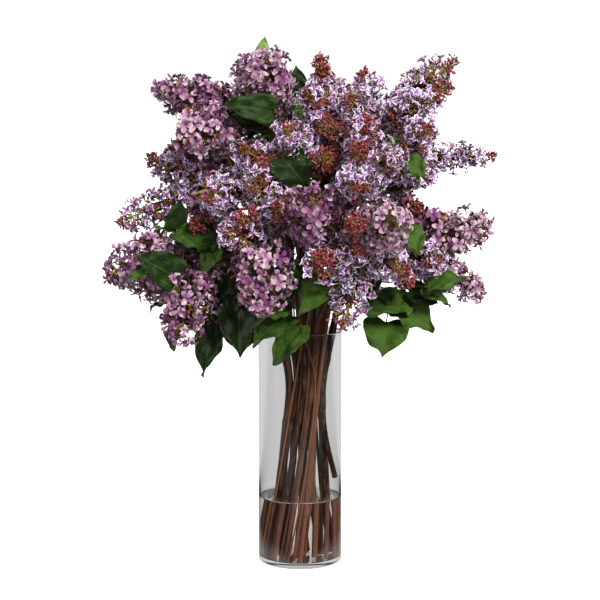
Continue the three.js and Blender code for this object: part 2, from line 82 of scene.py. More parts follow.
SPLIT_HEIGHT = 5
BARE_STALK_SHARE = 0.2
PANICLE_SAG = 0.05
GOLDEN_ANGLE = math.pi * (3 - math.sqrt(5))
FULL_TURN = 6.28

LEAF_FOLD = 0.28
LEAF_DROOP = 0.16
LEAF_THICKNESS = 0.5
LEAF_ROWS = 22
LEAF_COLUMNS = 13
PETIOLE_RADIUS = 0.9
TWIG_RADIUS = 1.7

# ---- Layout ----

# One row for each branch: its ring and place in the bunch, the fork where its panicles start, and
# for each panicle its tip, its radius, its kind and what its tone gains, if anything. The gain is
# painted light and shade: it lightens heads that stand in light and darkens heads that lie in
# shade.
MAUVE, VIOLET, BUDDING = "mauve", "violet", "budding"
BRANCHES = [
    (1, 3, (-92, -15, 668), [(-212, 10, 722, 33, MAUVE, -0.25), (-162, -120, 647, 35, MAUVE, 0.2)]),
    (0, 0, (-48, -10, 671), [(-50, -60, 761, 41, MAUVE, 0.15), (-90, 62, 762, 24, MAUVE)]),
    (2, 7, (-132, -10, 567), [
        (-229, -10, 617, 25, VIOLET, 0.5), (-270, -50, 519, 28, VIOLET, -0.35)]),
    (2, 8, (-124, -50, 469), [(-283, -60, 447, 43, MAUVE, 0.1), (-178, -130, 367, 43, MAUVE)]),
    (2, 10, (-46, -90, 499), [(-58, -200, 416, 44, MAUVE), (-103, -190, 518, 30, VIOLET, -0.4)]),
    (2, 9, (-61, -70, 573), [(-134, -150, 560, 32, VIOLET)]),
    (1, 4, (-18, -70, 582), [(-66, -190, 576, 33, VIOLET, 0.25), (-85, -140, 635, 30, VIOLET)]),
    (1, 5, (23, -60, 584), [(-22, -170, 661, 32, VIOLET), (36, -195, 624, 23, BUDDING)]),
    (1, 0, (50, -20, 649), [(30, -30, 748, 25, VIOLET), (9, -130, 711, 27, VIOLET, -0.2)]),
    (2, 14, (104, -20, 657), [
        (93, -50, 744, 26, VIOLET), (70, -150, 702, 31, VIOLET, -0.3), (234, 0, 760, 27, VIOLET),
        (204, -76, 704, 27, VIOLET, 0.35)]),
    (2, 0, (141, -20, 609), [
        (291, -20, 618, 22, VIOLET), (184, -126, 660, 27, VIOLET),
        (187, -100, 586, 27, VIOLET, 0.55)]),
    (2, 13, (94, -75, 596), [
        (85, -200, 669, 30, VIOLET, -0.1), (125, -215, 620, 32, VIOLET, -0.1),
        (76, -230, 580, 33, VIOLET)]),
    (2, 11, (7, -85, 506), [(20, -222, 561, 40, MAUVE, -0.15)]),
    (2, 12, (88, -75, 483), [
        (126, -215, 541, 37, MAUVE, 0.6), (152, -160, 453, 28, VIOLET, 0.2),
        (14, -204, 466, 31, VIOLET, -0.4), (61, -150, 375, 31, VIOLET, -0.1)]),
    (2, 1, (150, -10, 465), [
        (276, -30, 520, 35, MAUVE, 0.65), (200, -120, 470, 27, VIOLET),
        (276, -30, 414, 25, MAUVE, 0.3)]),
    (2, 6, (-110, 60, 590), [(-205, 110, 620, 40, MAUVE), (-150, 175, 560, 42, MAUVE)]),
    (1, 2, (-40, 80, 600), [(-62, 200, 630, 42, VIOLET), (-70, 140, 715, 40, VIOLET)]),
    (1, 1, (45, 80, 610), [(60, 200, 640, 42, MAUVE), (50, 120, 730, 40, MAUVE)]),
    (2, 2, (110, 60, 590), [(205, 110, 640, 40, VIOLET), (150, 185, 570, 42, VIOLET)]),
    (2, 4, (0, 100, 500), [(-75, 210, 490, 42, MAUVE), (75, 210, 480, 42, MAUVE)]),
]

# One row for each leafy shoot: its branch and the height where it leaves it, the point that it
# bends towards, its end, and its leaves. Each leaf has its base, its tip, its width, the way that
# its face looks and, where that isn't left to chance, its tone: 0 is dark, 1 light and 2 young
# yellow-green. A given tone from 0 to 1 is painted light and shade: it darkens leaves that lie in
# shade and lightens leaves that stand in light. The shoots after the outer ones lie inside and at
# the edges of the bunch.
OUTER_SHOOTS = 17
SHOOTS = [
    (4, 400, (-90, -70, 408), (-112, -90, 395), [
        (-124, -94, 373, -141, -120, 303, 44, -0.3, -1, 0.2, 0.2),
        (-98, -100, 412, -107, -124, 381, 28, -0.2, -1, 0.4),
        (-88, -112, 403, -85, -148, 336, 60, 0.1, -1, 0.3, 0.05)]),
    (4, 440, (-130, -20, 420), (-168, -36, 408), [
        (-176, -46, 396, -192, -80, 340, 22, -0.4, -0.8, 0),
        (-186, -44, 404, -222, -56, 396, 26, -0.2, -0.6, 0.8)]),
    (3, 495, (-150, -60, 505), (-168, -74, 508), [
        (-179, -72, 512, -171, -84, 558, 36, -0.2, -1, 0.1, 0.35),
        (-140, -94, 498, -184, -112, 508, 42, 0, -0.8, 0.6),
        (-122, -98, 486, -141, -120, 452, 30, -0.2, -1, 0.3),
        (-181, -116, 449, -230, -150, 480, 52, -0.2, -1, 0.4, 0.25)]),
    (2, 620, (-44, -30, 645), (-52, -44, 656), [
        (-56, -54, 658, -107, -76, 683, 44, 0.1, -0.7, 0.7, 0.2),
        (-58, -54, 648, -96, -66, 634, 34, 0, -0.5, 0.9)]),
    (2, 650, (-18, 14, 700), (-46, 22, 748), [(-60, 14, 758, -52, 16, 796, 22, 0.2, -1, 0, 2)]),
    (9, 600, (18, -26, 655), (4, -26, 686), [
        (2, -14, 703, -6, -8, 753, 28, 0, -1, 0.2),
        (0, -46, 676, -14, -72, 690, 24, 0, -0.8, 0.6)]),
    (8, 545, (20, -52, 560), (12, -66, 568), [
        (-2, -72, 566, -28, -92, 603, 40, 0, -1, 0.5),
        (36, -50, 572, 50, -62, 602, 26, 0, -1, 0.3)]),
    (13, 430, (15, -90, 440), (26, -104, 450), [
        (34, -112, 450, -2, -150, 398, 48, 0.2, -1, 0.3, 0.6),
        (0, -104, 462, -17, -120, 434, 24, -0.2, -1, 0.3)]),
    (5, 385, (-12, -70, 380), (-12, -98, 386), [
        (-18, -110, 391, -68, -150, 355, 46, -0.1, -0.8, 0.7, 0.45),
        (-26, -118, 400, -61, -156, 392, 34, 0, -0.7, 0.8, 0.5),
        (0, -100, 372, -40, -122, 322, 40, -0.2, -1, 0.4, 0.5)]),
    (15, 430, (140, -25, 420), (141, -40, 398), [
        (136, -46, 391, 86, -80, 398, 34, 0, -0.5, 1),
        (146, -46, 397, 199, -62, 363, 50, 0.1, -0.8, 0.6, 0.85),
        (128, -52, 374, 120, -80, 327, 66, 0, -1, 0.3, 0.65),
        (140, -60, 402, 114, -80, 418, 24, 0, -0.8, 0.6)]),
    (15, 445, (158, -40, 430), (172, -62, 428), [
        (188, -84, 430, 240, -96, 444, 36, 0, -0.6, 0.8, 0.95),
        (184, -68, 424, 221, -80, 402, 26, 0, -0.8, 0.6)]),
    (11, 520, (120, -40, 530), (148, -82, 524), [
        (156, -92, 516, 170, -122, 480, 36, 0.3, -1, 0.2, 0.8),
        (140, -92, 530, 112, -110, 524, 30, 0, -1, 0.5)]),
    (11, 590, (138, -60, 612), (148, -98, 616), [
        (154, -110, 616, 177, -132, 589, 30, 0.2, -1, 0.3, 1.0),
        (142, -98, 626, 120, -92, 650, 24, -0.3, -1, 0.5, 0.9)]),
    (16, 500, (-110, 60, 510), (-135, 85, 508), [
        (-146, 90, 504, -200, 120, 480, 54, -0.5, 0.6, 1),
        (-135, 98, 500, -150, 150, 468, 52, 0, 1, 0.8),
        (-120, 92, 512, -90, 140, 510, 44, 0, 1, 0.6)]),
    (17, 520, (-40, 100, 540), (-40, 130, 550), [
        (-48, 134, 556, -98, 160, 560, 44, 0, 1, 0.6),
        (-36, 142, 552, 0, 190, 560, 50, 0, 1, 0.6)]),
    (19, 500, (110, 60, 510), (135, 85, 508), [
        (146, 90, 504, 200, 120, 480, 54, 0.5, 0.6, 1),
        (135, 98, 500, 150, 150, 468, 52, 0, 1, 0.8), (120, 92, 512, 90, 140, 510, 44, 0, 1, 0.6)]),
    (20, 395, (0, 90, 405), (0, 110, 396), [
        (-10, 118, 392, -60, 150, 350, 56, -0.2, 1, 0.5),
        (8, 120, 390, 40, 150, 338, 56, 0.2, 1, 0.5), (14, 112, 400, 72, 128, 392, 50, 0.2, 0.7, 1),
        (-14, 112, 402, -74, 124, 404, 50, -0.2, 0.7, 1)]),
    (5, 400, (-62, -60, 408), (-91, -70, 421), [
        (-100, -74, 451, -105, -92, 391, 46, -0.2, -1, 0.1, 0.0),
        (-79, -80, 419, -55, -95, 371, 36, 0.2, -1, 0.2, 0.1),
        (-105, -84, 419, -130, -108, 343, 38, -0.4, -1, 0, 0.1)]),
    (4, 470, (-110, -60, 482), (-124, -80, 498), [
        (-128, -88, 503, -179, -100, 495, 50, 0, -0.8, 0.6, 0.1),
        (-145, -84, 507, -124, -100, 465, 38, 0.1, -1, 0.3, 0.15)]),
    (13, 455, (4, -90, 467), (-3, -96, 467), [
        (-6, -104, 461, -24, -118, 406, 40, -0.3, -1, 0.2, 0.5)]),
    (15, 455, (146, -30, 431), (156, -44, 418), [
        (152, -56, 404, 83, -96, 396, 50, 0, -0.8, 0.7, 0.6),
        (165, -56, 421, 203, -70, 404, 32, 0, -1, 0.4, 0.1)]),
    (14, 440, (96, -60, 455), (107, -64, 456), [
        (107, -70, 449, 98, -80, 414, 28, 0.2, -1, 0, 0.0)]),
    (2, 640, (-35, -30, 671), (-35, -40, 680), [
        (-41, -72, 683, -112, -98, 694, 44, 0, -1, 0.35, 0.35)]),
    (9, 640, (9, -60, 689), (7, -84, 694), [(6, -92, 690, -7, -98, 673, 18, -0.1, -1, 0.3, 2)]),
    (8, 560, (-12, -80, 611), (-18, -112, 620), [
        (-25, -150, 620, 13, -156, 574, 52, 0.1, -1, 0.2, 0.0),
        (14, -118, 604, 44, -128, 580, 26, 0.1, -1, 0.4, 0.1)]),
    (4, 455, (-199, -60, 460), (-218, -84, 457), [
        (-224, -92, 454, -252, -96, 444, 24, 0, -0.8, 0.6, 2)]),
    (3, 470, (-190, -100, 470), (-204, -118, 466), [
        (-206, -124, 462, -248, -142, 448, 20, 0, -0.8, 0.8)]),
    (3, 495, (-150, -60, 505), (-176, -60, 506), [
        (-184, -66, 508, -211, -66, 516, 16, 0, -0.4, 1)]),
    (2, 650, (-18, 14, 700), (-44, 24, 752), [(-40, 26, 764, -13, 40, 764, 14, 0, 0, 1)]),
    (16, 470, (-110, 70, 470), (-128, 90, 458), [
        (-132, 96, 452, -178, 118, 408, 50, -0.5, 0.7, 0.5),
        (-120, 104, 456, -110, 150, 420, 46, -0.1, 1, 0.5)]),
    (19, 470, (110, 70, 470), (128, 90, 458), [
        (132, 96, 452, 178, 118, 408, 50, 0.5, 0.7, 0.5),
        (120, 104, 456, 110, 150, 420, 46, 0.1, 1, 0.5)]),
    (20, 430, (10, 90, 430), (20, 110, 425), [
        (26, 114, 420, 40, 150, 370, 48, 0.2, 1, 0.4),
        (8, 118, 420, -20, 152, 372, 46, -0.2, 1, 0.4)]),
    (15, 430, (150, 10, 425), (162, 26, 424), [
        (168, 30, 420, 192, 46, 402, 40, 0.7, -0.1, 0.6),
        (160, 40, 420, 176, 84, 396, 44, 0.6, 0.6, 0.6)]),
    (4, 430, (-130, 0, 425), (-150, 16, 420), [
        (-156, 22, 416, -196, 36, 384, 46, -0.7, -0.1, 0.6),
        (-150, 32, 420, -172, 74, 392, 44, -0.6, 0.6, 0.6)]),
]

# Short side sprays that leave each branch below its fork: the height where they leave it, and then
# their tip, radius and kind. A budding one has only closed flowers.
SPRAYS = {
    1: [(650, -159, -5, 726, 21, MAUVE), (640, -121, -20, 718, 18, MAUVE),
        (600, -178, -90, 639, 9, BUDDING), (624, -139, 38, 654, 30, VIOLET)],
    2: [(646, -52, 79, 741, 30, MAUVE)],
    3: [(540, -133, -90, 549, 25, VIOLET), (520, -158, -110, 522, 15, BUDDING),
        (537, -179, 27, 567, 32, MAUVE)],
    4: [(460, -237, -70, 497, 19, MAUVE), (455, -234, -80, 422, 20, MAUVE),
        (444, -175, 72, 489, 31, MAUVE), (416, -199, 14, 446, 32, MAUVE)],
    5: [(490, -75, -110, 508, 24, MAUVE)],
    6: [(545, -81, -110, 623, 23, VIOLET), (540, -134, -110, 589, 18, BUDDING)],
    7: [(560, -54, -165, 616, 17, BUDDING), (550, -86, -190, 533, 16, BUDDING)],
    8: [(560, -33, -190, 545, 17, BUDDING)],
    9: [(630, 13, -90, 717, 20, BUDDING), (645, 28, -35, 766, 13, BUDDING),
        (625, 38, -160, 666, 19, BUDDING), (600, 44, -150, 616, 20, BUDDING),
        (624, 23, 33, 723, 29, VIOLET)],
    10: [(640, 177, -70, 670, 15, BUDDING), (640, 224, -20, 723, 15, BUDDING)],
    11: [(590, 148, -120, 629, 16, BUDDING), (570, 161, -80, 571, 24, VIOLET),
         (550, 174, -100, 546, 12, BUDDING), (579, 172, 24, 609, 31, MAUVE),
         (584, 180, 13, 654, 29, VIOLET)],
    12: [(580, 91, -190, 672, 17, BUDDING), (575, 80, -215, 636, 15, BUDDING),
         (560, 56, -160, 574, 24, VIOLET)],
    13: [(495, -45, -150, 553, 22, VIOLET)],
    14: [(470, 74, -225, 534, 15, BUDDING), (460, 26, -225, 484, 14, BUDDING),
         (475, 78, -175, 490, 20, VIOLET)],
    15: [(455, 208, -60, 536, 24, MAUVE), (450, 141, -90, 499, 20, VIOLET),
         (440, 106, -60, 428, 18, VIOLET), (440, 219, 85, 514, 32, MAUVE),
         (435, 207, 60, 465, 29, VIOLET), (440, 158, -120, 440, 13, BUDDING)],
    16: [(565, -151, 88, 691, 32, VIOLET), (507, -176, 67, 537, 31, VIOLET),
         (565, -129, 136, 660, 29, MAUVE)],
    17: [(575, -12, 106, 720, 31, VIOLET), (533, -81, 181, 563, 30, VIOLET)],
    18: [(585, 87, 55, 711, 30, MAUVE), (585, 2, 180, 629, 31, VIOLET),
         (525, 76, 184, 555, 32, MAUVE), (585, -4, 86, 672, 32, VIOLET)],
    19: [(565, 178, 56, 693, 30, VIOLET), (565, 125, 131, 673, 34, MAUVE),
         (507, 188, 48, 537, 33, VIOLET), (565, 115, 157, 630, 31, VIOLET)],
    20: [(425, -157, 115, 455, 32, MAUVE), (423, 135, 128, 453, 31, MAUVE),
         (475, 7, 186, 567, 31, MAUVE), (402, -7, 151, 432, 30, MAUVE),
         (475, 1, 120, 554, 30, MAUVE)],
}

# Stalks among the branches in the vase, woody ones and thin orange-brown ones, by finish: the turn
# round the bunch, how far out they lie at the waist, their radius, their tone and, for some, how
# far they swing round above the waist.
# Among the woody stalks, those in front of the bunch are given lighter tones: painted light, as if
# they stood more brightly lit in the water.
STALKS = {
    "young bark": [
        (0.35, 21, 1.9, 0.5), (1.25, 20.5, 1.5, 0.4), (2.1, 21.5, 1.8, 0.5), (3.05, 21, 1.6, 0.6),
        (3.8, 20.5, 2.0, 0.5), (4.35, 21.5, 1.5, 0.5), (4.95, 21, 2.1, 0.6), (5.6, 21, 1.7, 0.5),
        (4.15, 33, 1.4, 0.9, 0.8), (5.15, 33, 1.2, 0.7, -0.8)],
    "bark": [
        (3.98, 25, 2.6, 0.5), (4.42, 26, 2.5, 1.0, 0.1), (4.82, 26, 2.7, 0.7),
        (5.24, 26, 2.4, 0.9, -0.1), (1.05, 25, 2.7, 0.3), (1.47, 25, 2.6, 0.7),
        (1.88, 25, 2.7, 0.4)],
}
STALK_TOP = 430
STALK_POINTS = 40

# How closely florets and buds are set, by kind.
PETAL_LENGTH = {MAUVE: 10.5, VIOLET: 8.4, BUDDING: 8.4}
CLUSTER_SHARE = {MAUVE: 0.45, VIOLET: 0.40, BUDDING: 0.38}
CLUSTER_STRAY = {MAUVE: 0.12, VIOLET: 0.22, BUDDING: 0.22}
FLORET_COVER = {MAUVE: 2.0, VIOLET: 1.35, BUDDING: 1.0}
FLORET_LEAN = {MAUVE: 0.60, VIOLET: 0.50, BUDDING: 0.50}
BUD_CHANCE = {MAUVE: 0.02, VIOLET: 0.21, BUDDING: 2.0}
TIP_BUDS = {MAUVE: 0.10, VIOLET: 0.65, BUDDING: 0.0}
BUDS_AMONG = {MAUVE: 0.09, VIOLET: 0.10, BUDDING: 0.0}
BUDS_A_CLUSTER = {MAUVE: 8, VIOLET: 10, BUDDING: 6}
SPIKE_BUDS = {MAUVE: 6, VIOLET: 20, BUDDING: 12}
SPRAY_LENGTH = {MAUVE: 2.6, VIOLET: 2.6, BUDDING: 3.0}
# The dark core inside each panicle is painted shade: its radius as a share of the panicle's, the
# share of the axis where it ends, and its rings.
CORE_SHARE = {MAUVE: 0.36, VIOLET: 0.24, BUDDING: 0.10}
CORE_END = {MAUVE: 0.84, VIOLET: 0.62, BUDDING: 0.5}
CORE_RINGS = 14

# How a panicle is set: shares of its length where the clusters lie, the buds of the tip begin and
# the bud spike begins, how far a cluster's hub lies below its middle as a share of its radius, and
# for full panicles and small sprays how many florets they have and how near to a neighbouring
# cluster's middle a floret may lie.
CLUSTERS_FROM, CLUSTERS_TO = 0.04, 0.95
TIP_FROM = 0.84
SPIKE_FROM = 0.80
HUB_DEPTH = 0.25
FULL_RADIUS = 24
FULL_COVER, SMALL_COVER = 1, 0.7
FULL_NEAREST, SMALL_NEAREST = 0.78, 0.6
FRONT_FACING = -0.6
DOME_REACH, BUD_DOME_REACH = 1.95, 1.9
DOME_DEPTH = 0.20
THROAT_RADIUS = 1.0
TUBE_LENGTH = 8.0
BUD_FOOT, BUD_LENGTH = -4.2, 7.6
PEDICEL_RADIUS, SIDE_STALK_RADIUS = 0.55, 1.1

# ---- Meshes from arrays ----


def unit(vectors):
    """Each vector over its length."""
    vectors = np.asarray(vectors, float)
    return vectors / np.maximum(np.linalg.norm(vectors, axis=-1, keepdims=True), 1e-9)


def stacked(*coordinates):
    """Points from their coordinates, which may each run along a different way of the grid."""
    return np.stack(np.broadcast_arrays(*coordinates), -1)


def round_angles(count):
    """Even angles round a circle."""
    return np.linspace(0, 2 * np.pi, count, endpoint=False)


def spokes(angle, first, second):
    """Ways between two others: the first times the angle's cosine plus the second times its
    sine."""
    return np.cos(angle)[..., None] * first + np.sin(angle)[..., None] * second


def square_to(ways):
    """Two ways square to each way: its cross product with Z, or with X where it is steep, and the
    cross product with that one."""
    helper = np.where(np.abs(ways[:, 2:]) < 0.9, [[0, 0, 1.0]], [[1.0, 0, 0]])
    first = unit(np.cross(helper, ways))
    return first, np.cross(ways, first)


class Skin:
    """Part of a mesh in millimetres: points, faces of three or four corners, and for each point a
    UV pair and a tone from 0 to 1. Every face of it has one finish."""

    def __init__(self, points, faces, uv, finish, tone=0.5):
        self.points = np.asarray(points, float).reshape(-1, 3)
        self.faces = [np.asarray(group, int) for group in faces if len(group)]
        self.uv = np.asarray(uv, float).reshape(-1, 2)
        self.finish = finish
        self.tone = np.broadcast_to(np.asarray(tone, float), len(self.points))


def grid_quads(rows, columns, closed=False):
    """The quads of a grid of points counted row by row. A closed grid joins its last column to
    its first."""
    row = np.arange(rows - 1)[:, None] * columns
    column = np.arange(columns if closed else columns - 1)
    following = (column + 1) % columns
    return stacked(row + column, row + following, row + columns + following,
                   row + columns + column).reshape(-1, 4)


def fan(centre, ring, outward):
    """The triangles between a centre and a ring of points, facing along the ring's axis or
    against it."""
    following = np.roll(ring, -1)
    order = [ring, following] if outward else [following, ring]
    return np.stack([np.full(len(ring), centre), *order], -1)


def joined(skins):
    """Several skins as one, with the finish of the first."""
    start, faces = 0, []
    for skin in skins:
        faces += [group + start for group in skin.faces]
        start += len(skin.points)
    points, uv, tone = (np.concatenate([getattr(skin, name) for skin in skins])
                        for name in ("points", "uv", "tone"))
    return Skin(points, faces, uv, skins[0].finish, tone)


def copies(template, places, ways, spins, scales, tones):
    """The template once at each place, with its Z axis turned to the way there, spun about it,
    scaled, and given the tone."""
    ways = unit(ways)
    first, second = square_to(ways)
    across, up = spokes(spins, first, second), spokes(spins, second, -first)
    shape = template.points[None] * scales[:, None, None]
    points = (places[:, None] + shape[..., :1] * across[:, None]
              + shape[..., 1:2] * up[:, None] + shape[..., 2:] * ways[:, None])
    start = np.arange(len(places))[:, None, None] * len(template.points)
    faces = [(group[None] + start).reshape(-1, group.shape[1]) for group in template.faces]
    return Skin(points, faces, np.tile(template.uv, (len(places), 1)), template.finish,
                np.clip((tones[:, None] + template.tone[None] - 0.5).ravel(), 0, 1))


def add_object(name, data):
    """Links a new object."""
    made = bpy.data.objects.new(name, data)
    bpy.context.scene.collection.objects.link(made)
    return made


def make_piece(name, skins, slot, *replaced):
    """One object from skins in millimetres, which rides on the only body and may replace CAD
    nodes."""
    used = [finish for finish in FINISHES if any(skin.finish == finish for skin in skins)]
    numbers = [used.index(skin.finish) for skin in skins for group in skin.faces]
    whole = joined(skins)
    corners = np.concatenate([group.ravel() for group in whole.faces])
    counts = [len(group) for group in whole.faces]
    sizes = np.repeat([group.shape[1] for group in whole.faces], counts)
    mesh = bpy.data.meshes.new(name)
    mesh.vertices.add(len(whole.points))
    mesh.vertices.foreach_set("co", (whole.points * MM).ravel())
    mesh.loops.add(len(corners))
    mesh.loops.foreach_set("vertex_index", corners)
    mesh.polygons.add(len(sizes))
    mesh.polygons.foreach_set("loop_start", np.cumsum(sizes) - sizes)
    mesh.polygons.foreach_set("material_index", np.repeat(numbers, counts))
    mesh.polygons.foreach_set("use_smooth", np.ones(len(sizes), bool))
    mesh.uv_layers.new(name="along").uv.foreach_set("vector", whole.uv[corners].ravel())
    mesh.attributes.new("tone", "FLOAT", "POINT").data.foreach_set("value", whole.tone)
    mesh.update(calc_edges=True)
    for finish in used:
        mesh.materials.append(FINISHES[finish])
    piece = add_object(name, mesh)
    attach(piece, "root")
    if replaced:
        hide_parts(*replaced)


# ---- Curves, rods and lathed shapes ----


def bezier(controls, count):
    """Points of the Bezier curve with three or four controls: each control times its Bernstein
    weight."""
    t = np.linspace(0, 1, count)[:, None]
    degree = len(controls) - 1
    return sum(math.comb(degree, k) * t ** k * (1 - t) ** (degree - k) * np.asarray(p, float)
               for k, p in enumerate(controls))


def smooth(points, count):
    """A Catmull-Rom curve through the points: on each stretch a cubic whose slope at a point is
    half the way from the point before it to the point after it."""
    points = np.asarray(points, float)
    padded = np.concatenate([2 * points[:1] - points[1:2], points, 2 * points[-1:] - points[-2:-1]])
    place = np.linspace(0, len(points) - 1, count)
    stretch = np.minimum(place.astype(int), len(points) - 2)
    t = (place - stretch)[:, None]
    before, here, there, after = (padded[stretch + k] for k in range(4))
    return 0.5 * (2 * here + (there - before) * t
                  + (2 * before - 5 * here + 4 * there - after) * t ** 2
                  + (3 * here - before - 3 * there + after) * t ** 3)


def rod(path, radii, sides, finish, tone=0.5, caps=(True, True)):
    """Rings of points round a path. A ring point is the path point plus the radius times the
    cosine and sine of its angle along two ways square to the path; radii may differ round the
    ring. U goes round, V is the way along in millimetres."""
    path = np.asarray(path, float)
    tangent = unit(np.gradient(path, axis=0))
    middle = path[len(path) // 2]
    plane = np.cross(middle - path[0], path[-1] - middle)
    if np.linalg.norm(plane) < 1e-3 * np.linalg.norm(path[-1] - path[0]) ** 2:
        plane = np.cross(tangent[0], [0.3, 0.2, 1] if abs(tangent[0][2]) < 0.8 else [1, 0.2, 0.1])
    normal = unit(plane - np.sum(plane * tangent, 1)[:, None] * tangent)
    side = np.cross(tangent, normal)
    angle, ring = round_angles(sides), np.arange(sides)
    radii = np.asarray(radii, float).reshape(len(path), -1, 1)
    points = path[:, None] + radii * spokes(angle, normal[:, None], side[:, None])
    run = np.concatenate([[0], np.cumsum(np.linalg.norm(np.diff(path, axis=0), axis=1))])
    points, uv = points.reshape(-1, 3), stacked(angle / (2 * np.pi), run[:, None]).reshape(-1, 2)
    faces = [grid_quads(len(path), sides, closed=True)]
    for k, end in enumerate((0, len(path) - 1)):
        if caps[k]:
            faces.append(fan(len(points), ring + sides * end, outward=k == 1))
            points, uv = np.vstack([points, path[end]]), np.vstack([uv, [0.5, run[end]]])
    return Skin(points, faces, uv, finish, tone)


def struts(starts, ends, radius, tones):
    """Three-sided straight stalks, one from each start to its end."""
    first, second = square_to(unit(ends - starts))
    ring = -radius * spokes(round_angles(3), first[:, None], second[:, None])
    points = np.stack([starts[:, None] + ring, ends[:, None] + ring], 1)
    faces = grid_quads(2, 3, closed=True)[None] + 6 * np.arange(len(starts))[:, None, None]
    uv = np.tile([[0, 0], [0.33, 0], [0.67, 0], [0, 1], [0.33, 1], [0.67, 1]], (len(starts), 1))
    return Skin(points, [faces.reshape(-1, 4)], uv, "stalk", np.repeat(tones, 6))


def lathed(profile, sides, finish):
    """A profile of radius and height pairs turned about Z. It starts and ends on the axis, where
    the ring becomes one point."""
    profile = np.asarray(profile, float)
    inner = profile[1:-1]
    angle, ring = round_angles(sides), np.arange(sides)
    rings = stacked(inner[:, :1] * np.cos(angle), inner[:, :1] * np.sin(angle), inner[:, 1:])
    points = np.vstack([rings.reshape(-1, 3), [[0, 0, profile[0, 1]], [0, 0, profile[-1, 1]]]])
    faces = [grid_quads(len(inner), sides, closed=True), fan(len(points) - 2, ring, outward=False),
             fan(len(points) - 1, ring + sides * (len(inner) - 1), outward=True)]
    return Skin(points, faces, points[:, :2] / VASE_RADIUS, finish)


def rounded(corner, start, end, count=5):
    """An arc for a profile's corner, as the quadratic curve from start to end that bends at it."""
    return bezier([start, corner, end], count)


# ---- Vase and water ----


def vase_skin():
    """The lathed wall, with an eased foot, a fire-polished rim and a soft inner corner. A ring
    close to each rounding keeps the straight parts straight."""
    outer, inner, edge = VASE_RADIUS, VASE_RADIUS - VASE_WALL, VASE_EDGE_ROUND
    top, floor, middle, lip = VASE_HEIGHT, VASE_FLOOR, outer - VASE_WALL / 2, VASE_HEIGHT - 1.8
    return lathed(np.vstack([
        [[0, 0], [outer - edge - 1, 0]],
        rounded([outer, 0], [outer - edge, 0], [outer, edge], 7),
        [[outer, edge + 1], [outer, top / 2], [outer, lip - 1]],
        rounded([outer, top], [outer, lip], [middle, top]),
        rounded([inner, top], [middle - 0.1, top], [inner, lip]),
        [[inner, lip - 1], [inner, top / 2], [inner, floor + edge + 1]],
        rounded([inner, floor], [inner, floor + edge], [inner - edge, floor]),
        [[inner - edge - 1, floor], [0, floor]]]), VASE_SIDES, "glass")


def water_skin():
    """The lathed body of water. It laps a little into the glass, so that no air lies between
    them, and its surface climbs the wall in a meniscus."""
    painted_light_underwater, bottom = VASE_RADIUS - VASE_WALL + WATER_LAP, VASE_FLOOR - WATER_LAP
    edge, level = VASE_EDGE_ROUND, WATER_LEVEL
    return lathed(np.vstack([
        [[0, bottom], [painted_light_underwater - edge - 1, bottom]],
        rounded([painted_light_underwater, bottom], [painted_light_underwater - edge, bottom], [painted_light_underwater, bottom + edge]),
        [[painted_light_underwater, bottom + edge + 1], [painted_light_underwater, level + 1.3], [painted_light_underwater, level + 1.8]],
        rounded([painted_light_underwater - 0.4, level], [painted_light_underwater - 0.3, level + 1.6], [painted_light_underwater - 3.2, level]),
        [[painted_light_underwater - 4.2, level], [0, level]]]), VASE_SIDES, "water")


# ---- Woody branches ----


def round_bunch(radius, turn, height):
    """The point at a radius, a turn and a height."""
    return np.array([radius * math.cos(turn), radius * math.sin(turn), height])


def branch_path(number):
    """The middle line of a branch: straight from the vase floor to the waist, then through the
    neck, and on a cubic Bezier curve to the fork."""
    ring, place, fork, panicles = BRANCHES[number - 1]
    radius, turn = RING_RADII[ring], place / RING_PLACES[ring] * 2 * math.pi
    foot = round_bunch(radius * FOOT_SPREAD, turn + FOOT_TWIST, FOOT_HEIGHT)
    waist = round_bunch(radius, turn, WAIST_HEIGHT) + WAIST_SHIFT
    neck = round_bunch(radius * NECK_SPREAD, turn, NECK_HEIGHT) + WAIST_SHIFT
    if number == SHORT_BRANCH:
        lower = [SHORT_FOOT, SHORT_BEND, waist]
    else:
        lower = [foot, foot + (waist - foot) / 3, foot + (waist - foot) * 2 / 3, waist]
    fork = np.array(fork, float)
    reach = np.linalg.norm(fork - neck)
    lean = unit(sum(unit(row[:3] - fork) for row in panicles))
    lean = unit([lean[0], lean[1], max(lean[2], LEAST_FORK_RISE)])
    upper = bezier([neck, neck + unit(neck - waist) * reach * NECK_RISE_SHARE,
                    fork - lean * reach * FORK_LEAN_SHARE, fork], 9)
    return smooth(np.vstack([lower, upper]), STEM_POINTS)


def point_on_branch(number, height):
    """The point of a branch's path at a height above its neck."""
    path = branch_path(number)[FIRST_ABOVE_NECK:]
    return np.array([np.interp(height, path[:, 2], path[:, k]) for k in range(3)])


